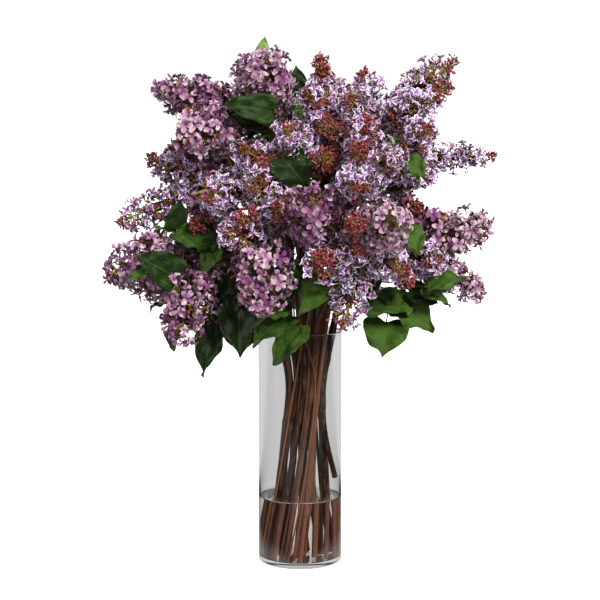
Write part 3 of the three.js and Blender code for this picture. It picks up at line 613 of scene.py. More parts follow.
def branch_skins(number):
    """Bark round the branch's path. The radius falls evenly from foot to top, times shallow ridges,
    a sine of three times the angle, and a bell curve with a notch at each old leaf joint. The foot
    is cut square and shows pale wood."""
    random = np.random.default_rng(100 + number)
    path = branch_path(number)
    run = np.cumsum(np.linalg.norm(np.gradient(path, axis=0), axis=1))
    joints = FIRST_JOINT + np.cumsum(random.uniform(*JOINT_GAPS, 12))
    gap = run[:, None] - joints
    collar = 0.22 * np.exp(-(gap / 2.6) ** 2).sum(1) - 0.06 * np.exp(-((gap - 4) / 1.3) ** 2).sum(1)
    ridges = 0.05 * np.sin(3 * round_angles(STEM_SIDES) + run[:, None] / 60 + number)
    radius = np.linspace(STEM_FOOT_RADIUS, STEM_TOP_RADIUS, STEM_POINTS)
    radii = radius[:, None] * (0.96 + collar[:, None] + ridges)
    bark = rod(path, radii, STEM_SIDES, "bark", random.random(), caps=(False, True))
    foot = Skin(np.vstack([bark.points[:STEM_SIDES], path[0]]),
                [fan(STEM_SIDES, np.arange(STEM_SIDES), outward=False)],
                np.zeros((STEM_SIDES + 1, 2)), "cut wood")
    nubs = []
    for joint in joints[joints < run[-1] - 30][::2]:
        k = int(np.argmin(np.abs(run - joint)))
        nubs.append(bud_nub(path[k], radius[k], random.uniform(0, 2 * np.pi)))
    return [bark, foot, *nubs]


def bud_nub(place, radius, turn):
    """A short pointed winter bud: a rod from just inside the bark, outwards and steeply up."""
    out = unit(round_bunch(1, turn, 0.2))
    line = place + out * radius * 0.7 + unit(out + [0, 0, 1.2]) * np.linspace(0, 4.6, 5)[:, None]
    return rod(line, [1.5, 1.6, 1.3, 0.8, 0.15], 6, "bark", 0.8)


def stalk_skin(finish, turn, radius, thickness, tone, swing=0):
    """A thin stalk that stands on the vase floor among the branches and rises into the bunch: a
    smooth curve through foot, shin, waist, neck and top, which swings round the bunch above the
    waist."""
    foot_turn, shin_turn = turn + FOOT_TWIST, turn + FOOT_TWIST * 0.45
    points = [round_bunch(radius * FOOT_SPREAD, foot_turn, FOOT_HEIGHT),
              round_bunch(radius * 1.3, shin_turn, WAIST_HEIGHT * 0.55) + WAIST_SHIFT * 0.5,
              round_bunch(radius, turn, WAIST_HEIGHT) + WAIST_SHIFT,
              round_bunch(radius * NECK_SPREAD, turn + swing * 0.6, NECK_HEIGHT) + WAIST_SHIFT,
              round_bunch(radius * 2, turn + swing, STALK_TOP) + WAIST_SHIFT]
    radii = np.linspace(thickness, thickness * 0.7, STALK_POINTS)
    return rod(smooth(points, STALK_POINTS), radii, 8, finish, tone)


# ---- Florets and buds ----

# Each of the four petals of a floret is made a set amount lighter or darker: painted light and
# shade, as if the petals were turned towards the light or away from it.
PETAL_PAINTED_SHADES = [0.20, -0.26, 0.28, -0.16]


def petal(length, lift, kind, shade):
    """A petal on a grid of s along and t across. The half width is a power of a sine of s, the
    rounded kind keeps most of it to the end and the pointed kind closes to a tip. The middle
    rises by lift and then bends back, and the margins curl up with the square of t."""
    s = np.linspace(0, 1, 4)[:, None]
    t = np.linspace(-1, 1, 3)
    if kind == MAUVE:
        half = 0.09 + 0.25 * np.sin(np.pi * s ** 1.1 * 0.86) ** 0.9
        along = s - 0.12 * t ** 2 * s ** 3
        height = lift * s - 0.38 * s ** 3 + 0.26 * t ** 2 * np.sin(np.pi * s ** 0.8)
    else:
        half = 0.11 * (1 - s) + 0.26 * np.sin(np.pi * s ** 0.8) ** 0.8 + 0.02
        along = s - 0.08 * t ** 2 * s
        height = lift * s - 0.46 * s ** 2 + 0.30 * t ** 2 * np.sin(np.pi * s ** 0.7)
    points = stacked(THROAT_RADIUS * 0.8 + length * along, t * length * half, length * height)
    uv = stacked((t + 1) / 2, 0.2 + 0.8 * s)
    return Skin(points, [grid_quads(4, 3)], uv, f"{kind} petal", 0.5 + shade)


def floret(kind, lift, unevenness):
    """Four petals round the mouth of a thin tube. Opposite ones stand a little higher, the second
    is a little shorter, and the third is turned a little."""
    parts = []
    for k, shade in enumerate(PETAL_PAINTED_SHADES):
        shape = petal(PETAL_LENGTH[kind] * (0.9 if k == 1 else 1), lift + unevenness * (k % 2),
                      kind, shade)
        turn = k * math.pi / 2 + (0.18 if k == 2 else 0)
        c, s = math.cos(turn), math.sin(turn)
        shape.points = shape.points @ np.array([[c, s, 0], [-s, c, 0], [0, 0, 1]])
        parts.append(shape)
    throat = rod([[0, 0, -TUBE_LENGTH], [0, 0, -0.1]], [0.5, THROAT_RADIUS], 4, parts[0].finish,
                 caps=(False, True))
    throat.uv = stacked(0.5, 0.16 * (throat.points[:, 2] + TUBE_LENGTH) / TUBE_LENGTH)
    throat.uv[-1, 1] = 0.0
    return joined([*parts, throat])


def bud():
    """A closed bud on its tube, turned from a profile of radius and height."""
    tip = [0, BUD_FOOT + BUD_LENGTH]
    shape = lathed([[0, BUD_FOOT], [0.9, -2.6], [1.6, 0.6], [1.15, 2.7], tip], 5, "bud")
    shape.uv = stacked(0.5, (shape.points[:, 2] - BUD_FOOT) / BUD_LENGTH)
    return shape


FLORETS = {kind: [floret(kind, lift, uneven) for lift, uneven in shapes] for kind, shapes in {
    MAUVE: [(0.32, 0.22), (0.80, 0.16), (0.10, 0.46)],
    VIOLET: [(0.42, 0.20), (0.85, 0.24), (0.16, 0.42)]}.items()}
FLORETS[BUDDING] = FLORETS[VIOLET]
BUD = bud()

# ---- Panicles ----


def fullness(share):
    """A panicle's outline: the root of a sine of the share, narrow at the stalk, fullest below
    the middle and blunt at the tip."""
    return np.sin(np.pi * np.clip(share, 0, 1) ** 0.8) ** 0.5


class Panicle:
    """The axis of a panicle and where its surface lies round it."""

    def __init__(self, heel, tip, radius, longest=1e3):
        self.heel, self.tip, self.radius = heel, np.array(tip, float), radius
        bare = max(BARE_STALK_SHARE, 1 - longest / np.linalg.norm(self.tip - heel))
        self.base = heel + bare * (self.tip - heel)
        self.length = np.linalg.norm(self.tip - self.base)
        self.middle = (self.base + self.tip) / 2 + [0, 0, self.length * PANICLE_SAG]
        self.tangent = unit(self.tip - self.base)
        self.side = unit(np.cross([0, 0, 1], self.tangent))
        self.upper = np.cross(self.tangent, self.side)

    def axis(self, share):
        """Points of the quadratic Bezier curve from the base to the tip."""
        share = np.asarray(share)[:, None]
        return (self.base * (1 - share) ** 2 + self.middle * 2 * share * (1 - share)
                + self.tip * share ** 2)

    def surface(self, share, turn, swell):
        """Points at the outline's radius round the axis, and the ways that face outwards there."""
        spoke = spokes(turn, self.side, self.upper)
        step = 0.01
        rise = (fullness(share + step) - fullness(share - step)) * self.radius
        slope = np.clip(rise / (2 * step * self.length), -2.5, 1.2)
        radius = fullness(share) * self.radius * swell
        return (self.axis(share) + spoke * radius[:, None],
                unit(spoke - slope[:, None] * self.tangent))

    def spread(self, count):
        """Shares along the axis and turns round it for points that cover the surface evenly: a
        golden-angle spiral whose shares follow the surface's area."""
        grid = np.linspace(CLUSTERS_FROM, CLUSTERS_TO, 200)
        area = np.cumsum(fullness(grid) + 0.05)
        share = np.interp((np.arange(count) + 0.5) / count, area / area[-1], grid)
        return share, np.arange(count) * GOLDEN_ANGLE


def domes(centres, ways, sizes, count, reach, random):
    """Places on a loose dome about each centre: a sunflower spiral whose polar angle opens to
    reach. Gives the places, the ways outwards and the number of each one's centre."""
    k = np.arange(count)
    polar = np.arccos(1 - (1 - math.cos(reach)) * (k + 0.5) / count)
    turn = k * GOLDEN_ANGLE + random.uniform(0, FULL_TURN, (len(centres), 1))
    turn = turn + random.normal(0, 0.35, turn.shape)
    polar = polar + random.normal(0, 0.12, turn.shape)
    first = unit(np.cross(ways, [0.3, 0.5, 0.8]))
    across = spokes(turn, first[:, None], np.cross(ways, first)[:, None])
    out = spokes(polar, ways[:, None], across)
    far = sizes[:, None] * np.clip(random.normal(1, DOME_DEPTH, turn.shape), 0.5, 1.4)
    places = centres[:, None] + out * far[..., None]
    owner = np.repeat(np.arange(len(centres)), count)
    return places.reshape(-1, 3), out.reshape(-1, 3), owner


def panicle_skins(panicle, kind, random, painted_light_gain=0.0):
    """A panicle is built from side clusters whose domes of florets reach the outline. A floret
    that would lie inside a neighbouring cluster is left out. Some clusters of the violet kind
    are all buds, more so at the tips that don't face the front, and a spike of buds ends each."""
    full = panicle.radius > FULL_RADIUS
    size = CLUSTER_SHARE[kind] * panicle.radius
    area = 2 * np.pi * panicle.radius * 0.75 * panicle.length
    count = max(6, int(0.62 * area / (np.pi * size ** 2)))
    share, turn = panicle.spread(count)
    share = share + random.normal(0, 0.015, count)
    turn = turn + random.normal(0, CLUSTER_STRAY[kind], count)
    room = np.maximum(1 - size / (panicle.radius * np.maximum(fullness(share), 0.3)), 0.05)
    centres, ways = panicle.surface(share, turn, room * random.uniform(0.92, 1.08, count))
    sizes = size * random.uniform(0.78, 1.2, count)
    chance = BUD_CHANCE[kind] * (0.4 + 1.4 * share ** 2)
    if panicle.tangent[1] > FRONT_FACING:
        chance = chance + TIP_BUDS[kind] * (share > TIP_FROM)
    closed = random.random(count) < chance
    cover = FLORET_COVER[kind] * (FULL_COVER if full else SMALL_COVER)
    each = max(3, int(cover * 2.7 * size ** 2 / PETAL_LENGTH[kind] ** 2))
    places, out, owner = domes(centres, ways, sizes, each, DOME_REACH, random)
    total = len(places)
    apart = np.linalg.norm(places[:, None] - centres, axis=2) / sizes
    depth = apart[np.arange(total), owner] - 1
    apart[np.arange(total), owner] = np.inf
    shown = (apart.min(1) > (FULL_NEAREST if full else SMALL_NEAREST)) & ~closed[owner]
    single = shown & (random.random(total) < BUDS_AMONG[kind])
    shown &= ~single
    lean = unit(out + ways[owner] * 0.25 + random.normal(0, FLORET_LEAN[kind], places.shape))
    # The gain lightens or darkens the whole head: painted light and shade.
    tone = painted_light_gain + random.normal(0.5, 0.22, total)
    # A floret's tone falls the nearer it lies to its cluster's middle and rises the farther out it
    # lies: painted shade deep in the cluster and painted light at its rim.
    tone = np.clip(tone + random.normal(0, 0.2, count)[owner] + depth * 1.2, 0, 1)
    skins = []
    for k, shape in enumerate(FLORETS[kind]):
        chosen = shown & (np.arange(total) % 3 == k)
        spins = random.uniform(0, FULL_TURN, chosen.sum())
        scales = random.uniform(0.76, 1.2, chosen.sum())
        skins.append(copies(shape, places[chosen], lean[chosen], spins, scales, tone[chosen]))
    below = ways * sizes[:, None] * HUB_DEPTH
    hubs = np.vstack([centres - below, panicle.axis([0.88])])
    buds = [(places[single] + out[single] * 1.5, out[single], owner[single])]
    if closed.any():
        made, outward, among = domes((centres + below)[closed], ways[closed], sizes[closed] * 0.65,
                                     BUDS_A_CLUSTER[kind], BUD_DOME_REACH, random)
        made = made + random.normal(0, 2.4, made.shape)
        buds.append((made, outward, np.flatnonzero(closed)[among]))
    along = np.linspace(SPIKE_FROM, 1.0, SPIKE_BUDS[kind])
    spoke = spokes(np.arange(len(along)) * GOLDEN_ANGLE, panicle.side, panicle.upper)
    reach = (1.12 - along) / 0.32 * 8 + 1
    rise = 0.5 + 2 * (along - SPIKE_FROM) / 0.2
    buds.append((panicle.axis(along) + spoke * reach[:, None],
                 unit(spoke + panicle.tangent * rise[:, None]), np.full(len(along), count)))
    bud_places, bud_ways, bud_owner = (np.concatenate(values) for values in zip(*buds))
    bud_ways = unit(unit(bud_ways) + random.normal(0, 0.3, bud_ways.shape))
    number = len(bud_places)
    skins.append(copies(BUD, bud_places, bud_ways, np.zeros(number),
                        random.uniform(0.6, 1.25, number), random.random(number)))
    starts = hubs[np.concatenate([owner[shown], bud_owner])]
    ends = np.vstack([places[shown] - lean[shown] * TUBE_LENGTH * 0.95, bud_places - bud_ways * 4])
    skins.append(struts(starts, ends, PEDICEL_RADIUS, random.random(len(ends))))
    roots = panicle.axis(np.clip(share - 0.14, 0, 1))
    skins.append(struts(roots, hubs[:-1], SIDE_STALK_RADIUS, random.random(count)))
    line = np.vstack([panicle.heel, panicle.axis(np.linspace(0, 0.99, 8))])
    skins.append(rod(line, np.linspace(2.3, 0.6, 9), 6, "stalk"))
    # The core is painted shade: a dark mottled sheet round the axis that stands for the shade deep
    # inside the panicle, like shadowed petals in the mauve kind.
    inner = np.linspace(0.02, CORE_END[kind], CORE_RINGS)
    waves = 1 + random.uniform(-0.25, 0.25, (CORE_RINGS, CORE_RINGS))
    radii = CORE_SHARE[kind] * panicle.radius * fullness(inner)[:, None] * waves
    finish = "painted shade mauve core" if kind == MAUVE else "painted shade core"
    skins.append(rod(panicle.axis(inner), radii, CORE_RINGS, finish, random.random()))
    return skins


def bloom_skins(number):
    """The panicles of one branch, which part at its fork, and its side sprays lower down."""
    fork, panicles = BRANCHES[number - 1][2:]
    split = fork + unit(np.subtract(panicles[0][:3], fork)) * SPLIT_HEIGHT
    random = np.random.default_rng(number)
    skins = []
    for k, (x, y, z, radius, kind, *painted_light_gain) in enumerate(panicles):
        heel = split if k else np.array(fork, float)
        skins += panicle_skins(Panicle(heel, (x, y, z), radius), kind, random, *painted_light_gain)
    for height, x, y, z, radius, kind in SPRAYS.get(number, []):
        root = point_on_branch(number, height)
        spray = Panicle(root, (x, y, z), radius, SPRAY_LENGTH[kind] * radius)
        skins += panicle_skins(spray, kind, random)
    return skins


# ---- Leaves ----

# Half of a heart-shaped blade's edge: share of the length and share of the width.
BLADE_EDGE = [[0, 0.02], [-0.08, 0.12], [-0.12, 0.28], [-0.05, 0.43], [0.11, 0.52], [0.34, 0.51],
              [0.55, 0.44], [0.74, 0.30], [0.88, 0.12], [1, 0]]


def blade_skins(base, tip, width, facing, tone, random):
    """A closed thin blade. A point at share s of the half edge and t across lies on the straight
    line from the rib to the edge; it rises with the fold, with the droop along the rib, near the
    edge with two waves along s, and all over with a crumple of crossed waves. Between the side
    veins it is puffed up a little, and it bends down at the tip."""
    length = np.linalg.norm(tip - base)
    along = unit(tip - base)
    face = unit(facing - along * np.dot(along, facing))
    side = np.cross(along, face)
    rows, columns = LEAF_ROWS, LEAF_COLUMNS
    ahead, aside = smooth(BLADE_EDGE, rows).T[..., None]
    rib = (np.linspace(0, 1, rows) ** 1.25)[:, None]
    t = np.linspace(-1, 1, columns)
    share = rib + np.abs(t) * (ahead - rib)
    out = t * aside * width
    phase, slope = random.uniform(0, FULL_TURN, 4), random.normal(0, 0.07)
    wave = t ** 2 * (0.06 * np.sign(t) * np.cos(3.4 * np.pi * share + phase[0])
                     + 0.05 * np.cos(5.2 * np.pi * share + phase[1]))
    crumple = 0.04 * (np.sin(2 * np.pi * (2.2 * share + 0.8 * t) + phase[2])
                      + np.sin(2 * np.pi * (1.4 * share - 1.1 * t) + phase[3]))
    quilt = 0.010 * np.abs(np.sin(np.pi * rib * 7)) * np.sin(np.pi * np.abs(t)) ** 2
    height = LEAF_FOLD * np.abs(out) + length * (
        LEAF_DROOP * share * (1 - share) + wave + quilt + crumple * np.abs(t) ** 0.5
        + slope * t * share - 0.07 * np.clip(share, 0, 1) ** 4)
    grid = (base + share[..., None] * length * along + out[..., None] * side
            + height[..., None] * face)
    upper, under = grid.reshape(-1, 3), (grid - face * LEAF_THICKNESS).reshape(-1, 3)
    uv = stacked((t + 1) / 2, np.linspace(0, 1, rows)[:, None]).reshape(-1, 2)
    quads = grid_quads(rows, columns)
    number = np.arange(rows * columns).reshape(rows, columns)
    rim = np.concatenate([number[0], number[1:, -1], number[-1, -2::-1], number[-2:0:-1, 0]])
    following = np.roll(rim, -1)
    walls = np.stack([rim, rim + number.size, following + number.size, following], -1)
    top = Skin(np.vstack([upper, under]), [quads[:, ::-1], walls[:, ::-1]], np.vstack([uv, uv]),
               "young leaf" if tone > 1 else "leaf", min(tone, 1))
    return [top, Skin(under, [quads], uv, "leaf underside", tone)]


def shoot_skins(row, seed):
    """A twig on a quadratic curve from the bark, with each leaf on a petiole that is a cubic
    curve from the twig's outer half to the blade."""
    number, height, bend, end, leaves = row
    random = np.random.default_rng(300 + seed)
    twig = bezier([point_on_branch(number, height), bend, end], 12)
    skins = [rod(twig, np.linspace(TWIG_RADIUS, 1.2, 12), 6, "twig")]
    for k, leaf in enumerate(leaves):
        start = twig[min(11, int(11 * (0.5 + 0.5 * (k + 0.5) / len(leaves))))]
        base, tip = np.array(leaf[:3], float), np.array(leaf[3:6], float)
        along, reach = unit(tip - base), np.linalg.norm(base - start)
        line = bezier([start, start + unit(base - start) * reach * 0.5 + [0, 0, reach * 0.1],
                       base - along * reach * 0.3, base + along * 3], 8)
        skins.append(rod(line, np.linspace(1.3, PETIOLE_RADIUS, 8), 6, "twig"))
        # A given tone from 0 to 1 paints light and shade on the leaf; without one the tone differs
        # at random.
        tone = (*leaf[10:], random.random())[0]
        skins += blade_skins(base, tip, leaf[6], np.array(leaf[7:10]), tone, random)
    return skins


# ---- Finishes ----


def link(source, target):
    """Feeds a socket from another socket, or sets it to a plain value."""
    if isinstance(source, bpy.types.NodeSocket):
        target.id_data.links.new(source, target)
    else:
        target.default_value = source


def node(tree, kind, *values, **settings):
    """A new node's outputs. Its inputs, in order, take the given values or sockets, and None
    leaves one."""
    made = tree.nodes.new("ShaderNode" + kind)
    for name, value in settings.items():
        setattr(made, name, value)
    for socket, value in zip(made.inputs, values):
        if value is not None:
            link(value, socket)
    return made.outputs


def maths(operation, *values):
    """One Math node's result, in the tree of the first socket among its values."""
    tree = next(value for value in values if isinstance(value, bpy.types.NodeSocket)).id_data
    return node(tree, "Math", *values, operation=operation)[0]


add, less, times = (partial(maths, operation) for operation in ("ADD", "SUBTRACT", "MULTIPLY"))


def blend(share, first, second, kind="RGBA"):
    """Two colours, or two values, mixed by a share."""
    start, end = (6, 2) if kind == "RGBA" else (2, 0)
    made = share.id_data.nodes.new("ShaderNodeMix")
    made.data_type = kind
    for place, value in (0, share), (start, first), (start + 1, second):
        link(value, made.inputs[place])
    return made.outputs[end]


def steps(value, low, high):
    """A value carried from the range low to high to the range 0 to 1, and held there."""
    return node(value.id_data, "MapRange", value, low, high, 0.0, 1.0,
                interpolation_type="SMOOTHSTEP")[0]


def uv_parts(tree):
    """The U and V of the piece's own map."""
    return node(tree, "SeparateXYZ", node(tree, "UVMap", uv_map="along")[0])[:2]


def tone_of(tree):
    """The tone that each floret, bud or leaf got when it was placed."""
    return node(tree, "Attribute", attribute_name="tone")["Fac"]


def place_of(tree):
    """Object coordinates."""
    return node(tree, "TexCoord")["Object"]


def new_group(name, inputs, outputs):
    """A node group whose named sockets have the given types, with what it is given and gives."""
    group = bpy.data.node_groups.new(name, "ShaderNodeTree")
    for side, sockets in (("INPUT", inputs), ("OUTPUT", outputs)):
        for socket, kind in sockets.items():
            group.interface.new_socket(socket, in_out=side, socket_type="NodeSocket" + kind)
    given, result = (group.nodes.new("NodeGroup" + side) for side in ("Input", "Output"))
    return group, given.outputs, result.inputs


def from_middle(u):
    """How far across the blade a point lies: 0 on its middle line and 1 at its edge."""
    return times(maths("ABSOLUTE", less(u, 0.5)), 2.0)


def make_mottle():
    """A node group that mixes two colours by soft noise in object space and by the tone."""
    group, given, result = new_group(
        "mottle", {"Light": "Color", "Dark": "Color", "Scale": "Float", "Tone": "Float"},
        {"Color": "Color", "Value": "Float"})
    noise = node(group, "TexNoise", place_of(group), None, given["Scale"], 4.0)[0]
    share = steps(add(noise, less(given["Tone"], 0.5)), 0.15, 0.85)
    link(blend(share, given["Dark"], given["Light"]), result["Color"])
    link(noise, result["Value"])
    return group


def make_petal_marks():
    """A node group for petals. The margin is a mask of the pale edge and tip, which grows with the
    tone, and the veins are a sine across the petal."""
    group, given, result = new_group(
        "petal marks", {"Edge Start": "Float", "Tip Start": "Float", "Edge Share": "Float",
                        "Tone": "Float"}, {"Margin": "Float", "Veins": "Float"})
    u, v = uv_parts(group)
    margin = maths("MAXIMUM", steps(from_middle(u), given["Edge Start"], 1.0),
                   steps(v, given["Tip Start"], 1.0))
    margin = times(margin, steps(v, 0.22, 0.5))
    share = maths("MULTIPLY_ADD", given["Tone"], 0.9, given["Edge Share"])
    link(times(margin, less(share, 0.45)), result["Margin"])
    link(maths("SINE", times(u, 40.0)), result["Veins"])
    return group


def make_leaf_veins():
    """A node group for leaves: a mask of the rib and of side veins, which are stripes along V that
    run towards the tip as they near the edge."""
    group, given, result = new_group("leaf veins", {"Noise": "Float"}, {"Veins": "Float"})
    u, v = uv_parts(group)
    across = from_middle(u)
    order = add(add(times(v, 7.0), times(across, 0.35)), times(given["Noise"], 0.15))
    beside = maths("ABSOLUTE", less(maths("FRACT", order), 0.5))
    side_vein = times(steps(beside, 0.09, 0.0), steps(across, 1.0, 0.6))
    veins = maths("MAXIMUM", steps(across, 0.07, 0.02), times(side_vein, 0.55))
    link(veins, result["Veins"])
    return group


MOTTLE = make_mottle()
PETAL_MARKS = make_petal_marks()
LEAF_VEINS = make_leaf_veins()
CALYX_GREEN = (0.36, 0.32, 0.05, 1)
FINISHES = {}


def new_finish(name, roughness, **plain):
    """A material with a Principled shader, kept under its name. Plain values are set on the
    shader's own sockets."""
    FINISHES[name] = material = bpy.data.materials.new(name)
    material.use_nodes = True
    shader = material.node_tree.nodes["Principled BSDF"]
    for socket, value in {"Roughness": roughness, **plain}.items():
        shader.inputs[socket.replace("_", " ")].default_value = value
    return material.node_tree, shader


def cover(shader, colour, height, strength, depth):
    """Feeds the shader's colour, and its normal from a height."""
    link(colour, shader.inputs["Base Color"])
    bump = node(shader.id_data, "Bump", strength, depth, None, height)
    link(bump[0], shader.inputs["Normal"])


def petal_finish(name, light, dark, edge, throat, edge_start, tip_start, edge_share):
    """Petals: two mottled colours, paler towards the margin and the tip, fine veins along them,
    and a dark throat. The tone sets how light each floret is."""
    tree, shader = new_finish(name, 0.6, Specular_IOR_Level=0.08)
    v, tone = uv_parts(tree)[1], tone_of(tree)
    colour, noise = node(tree, "Group", light, dark, 90.0, tone, node_tree=MOTTLE)
    margin, veins = node(tree, "Group", edge_start, tip_start, edge_share, tone,
                         node_tree=PETAL_MARKS)
    colour = blend(times(steps(veins, 0.2, 1.0), 0.22), colour, dark)
    colour = blend(margin, colour, edge)
    colour = blend(steps(v, 0.34, 0.16), colour, throat)
    colour = blend(steps(v, 0.11, 0.05), colour, CALYX_GREEN)
    cover(shader, colour, add(veins, noise), 0.35, 0.0004)


def bud_finish():
    """Buds: crimson with a paler tip, which is a painted highlight, on a tube that is darker and
    greener below.
    """
    tree, shader = new_finish("bud", 0.45, Specular_IOR_Level=0.2)
    v = uv_parts(tree)[1]
    colour, noise = node(tree, "Group", (0.34, 0.044, 0.068, 1), (0.07, 0.008, 0.015, 1), 140.0,
                         tone_of(tree), node_tree=MOTTLE)
    # The paler tip is a painted highlight on the rounded end of the bud.
    colour = blend(times(steps(v, 0.75, 1.0), 0.6), colour, (0.52, 0.15, 0.15, 1))
    colour = blend(steps(v, 0.5, 0.2), colour, (0.16, 0.075, 0.02, 1))
    cover(shader, colour, noise, 0.3, 0.0004)


def stalk_finish(name, light, dark):
    """Stalks, twigs and the dark painted-shade cores of panicles, mottled, with a faint skin."""
    tree, shader = new_finish(name, 0.6, Specular_IOR_Level=0.1)
    colour, noise = node(tree, "Group", light, dark, 60.0, tone_of(tree), node_tree=MOTTLE)
    cover(shader, colour, noise, 0.3, 0.0005)


def leaf_finish(name, light, dark, vein, roughness):
    """Leaves: mottled green, a pale rib and pale side veins that arch to the edge, with the blade
    puffed up between them."""
    tree, shader = new_finish(name, roughness, Specular_IOR_Level=0.4)
    colour, noise = node(tree, "Group", light, dark, 38.0, tone_of(tree), node_tree=MOTTLE)
    veins = node(tree, "Group", noise, node_tree=LEAF_VEINS)[0]
    fine = node(tree, "TexVoronoi", place_of(tree), None, 420.0)[0]
    colour = blend(times(veins, 0.35), colour, vein)
    cover(shader, colour, less(times(fine, 0.25), veins), 0.5, 0.0006)
    link(maths("MULTIPLY_ADD", noise, 0.2, roughness - 0.1), shader.inputs["Roughness"])


def bark_finish():
    """Bark: red-brown, streaked along the branch, with grey weathering and small pale pores. Under
    water it is painted a lighter red, as if the stems in the water were more brightly lit."""
    tree, shader = new_finish("bark", 0.6, Specular_IOR_Level=0.2)
    place = place_of(tree)
    stretched = node(tree, "Mapping", place, None, None, (1, 1, 0.10), vector_type="POINT")[0]
    streaks = node(tree, "TexNoise", stretched, None, 420.0, 5.0)[0]
    pore = steps(node(tree, "TexVoronoi", place, None, 230.0)[0], 0.14, 0.05)
    level = node(tree, "SeparateXYZ", place)[2]
    # Below the water line the bark is blended to a lighter red: painted light, as if the stems in
    # the water were more brightly lit.
    painted_light_underwater = steps(level, (WATER_LEVEL + 1) * MM, (WATER_LEVEL - 1) * MM)
    colour, noise = node(tree, "Group", (0.125, 0.047, 0.026, 1), (0.014, 0.006, 0.003, 1), 45.0,
                         tone_of(tree), node_tree=MOTTLE)
    for mask, share, other in [(steps(streaks, 0.48, 0.72), 0.5, (0.20, 0.095, 0.062, 1)),
                               (steps(noise, 0.56, 0.75), 0.45, (0.085, 0.06, 0.05, 1)),
                               (pore, 0.35, (0.20, 0.12, 0.08, 1)),
                               (painted_light_underwater, 0.5, (0.21, 0.085, 0.055, 1))]:
        colour = blend(times(mask, share), colour, other)
    cover(shader, colour, add(times(streaks, 0.8), times(pore, 0.6)), 0.6, 0.0007)
    link(maths("MULTIPLY_ADD", streaks, 0.4, 0.35), shader.inputs["Roughness"])


def cut_wood_finish():
    """Pale mottled wood where a branch is cut."""
    tree, shader = new_finish("cut wood", 0.7)
    colour, noise = node(tree, "Group", (0.62, 0.47, 0.28, 1), (0.42, 0.28, 0.15, 1), 600.0, 0.5,
                         node_tree=MOTTLE)
    cover(shader, colour, noise, 0.4, 0.0003)


def choose(tree, share, first, second):
    """The surface mixed from two shaders by a share."""
    mixed = node(tree, "MixShader", share, first, second)[0]
    link(mixed, tree.nodes["Material Output"].inputs["Surface"])


def clear_finish(name, colour, refraction, shade):
    """Clear glass or water. Rays from lamps pass straight through a see-through shader, so that
    what stands inside is lit."""
    tree, shader = new_finish(name, 0.0, IOR=refraction, Transmission_Weight=1.0, Base_Color=colour)
    open_way = node(tree, "BsdfTransparent", shade)[0]
    choose(tree, node(tree, "LightPath")["Is Shadow Ray"], shader.outputs[0], open_way)


petal_finish("mauve petal", (0.37, 0.165, 0.32, 1), (0.18, 0.055, 0.15, 1),
             (0.68, 0.56, 0.51, 1), (0.10, 0.02, 0.035, 1), 0.70, 0.40, 0.42)
petal_finish("violet petal", (0.41, 0.197, 0.486, 1), (0.175, 0.05, 0.173, 1),
             (1.0, 0.95, 1.0, 1), (0.09, 0.01, 0.03, 1), 0.30, 0.86, 1.0)
bud_finish()
stalk_finish("stalk", (0.42, 0.37, 0.06, 1), (0.10, 0.07, 0.014, 1))
stalk_finish("young bark", (0.20, 0.085, 0.033, 1), (0.06, 0.022, 0.01, 1))
stalk_finish("twig", (0.16, 0.13, 0.035, 1), (0.05, 0.03, 0.012, 1))
# Dark painted shade for the cores inside the panicles.
stalk_finish("painted shade mauve core", (0.13, 0.05, 0.10, 1), (0.04, 0.013, 0.028, 1))
stalk_finish("painted shade core", (0.080, 0.032, 0.036, 1), (0.028, 0.010, 0.014, 1))
leaf_finish("leaf", (0.042, 0.088, 0.009, 1), (0.006, 0.016, 0.002, 1), (0.06, 0.11, 0.02, 1), 0.4)
leaf_finish("young leaf", (0.16, 0.28, 0.055, 1), (0.07, 0.14, 0.025, 1),
            (0.26, 0.36, 0.12, 1), 0.5)
leaf_finish("leaf underside", (0.07, 0.12, 0.035, 1), (0.03, 0.06, 0.015, 1),
            (0.14, 0.19, 0.07, 1), 0.6)
bark_finish()
cut_wood_finish()
clear_finish("glass", (0.95, 0.955, 0.95, 1), 1.5, (0.95, 0.955, 0.95, 1))
clear_finish("water", (0.97, 0.95, 0.93, 1), 1.333, (0.97, 0.96, 0.95, 1))

# ---- Stage, light and camera ----

SKY_SHOWN = 1.02
SKY_BOUNCE = 0.36
FLOOR_SIDE = 60
FLOOR_GLOW = 0.75
FLOOR_GAP = 0.0002
FLOOR_BOUNCE = 0.30
ROOM_ABOVE = 1.2
ROOM_BEHIND = 0.70
ROOM_IN_FRONT = 0.04
LAMPS = [("key", (0.55, -0.85, 0.64), 4.7, 16), ("fill", (-0.8, -0.5, 0.4), 0.8, 40),
         ("back", (-0.5, 0.9, 0.8), 1.6, 25)]


def add_camera():
    """Looks at the bouquet from the front, from the height of the flowers, with a long lens."""
    data = bpy.data.cameras.new("camera")
    data.sensor_width = 36
    data.lens = CAMERA_LENS
    camera = add_object("camera", data)
    camera.location = (0, -CAMERA_DISTANCE, CAMERA_HEIGHT)
    camera.rotation_euler = (math.radians(90 - CAMERA_PITCH), 0, 0)
    bpy.context.scene.camera = camera


def seen_level(rays, behind):
    """How bright the floor or the surroundings look through glass and in mirrored rays. Mirrored
    ones find them bright only where the given mask is."""
    mirrored = maths("MULTIPLY_ADD", behind, ROOM_BEHIND - ROOM_IN_FRONT, ROOM_IN_FRONT)
    only = maths("GREATER_THAN", rays["Glossy Depth"], 0.5)
    return less(ROOM_BEHIND, times(only, less(ROOM_BEHIND, mirrored)))


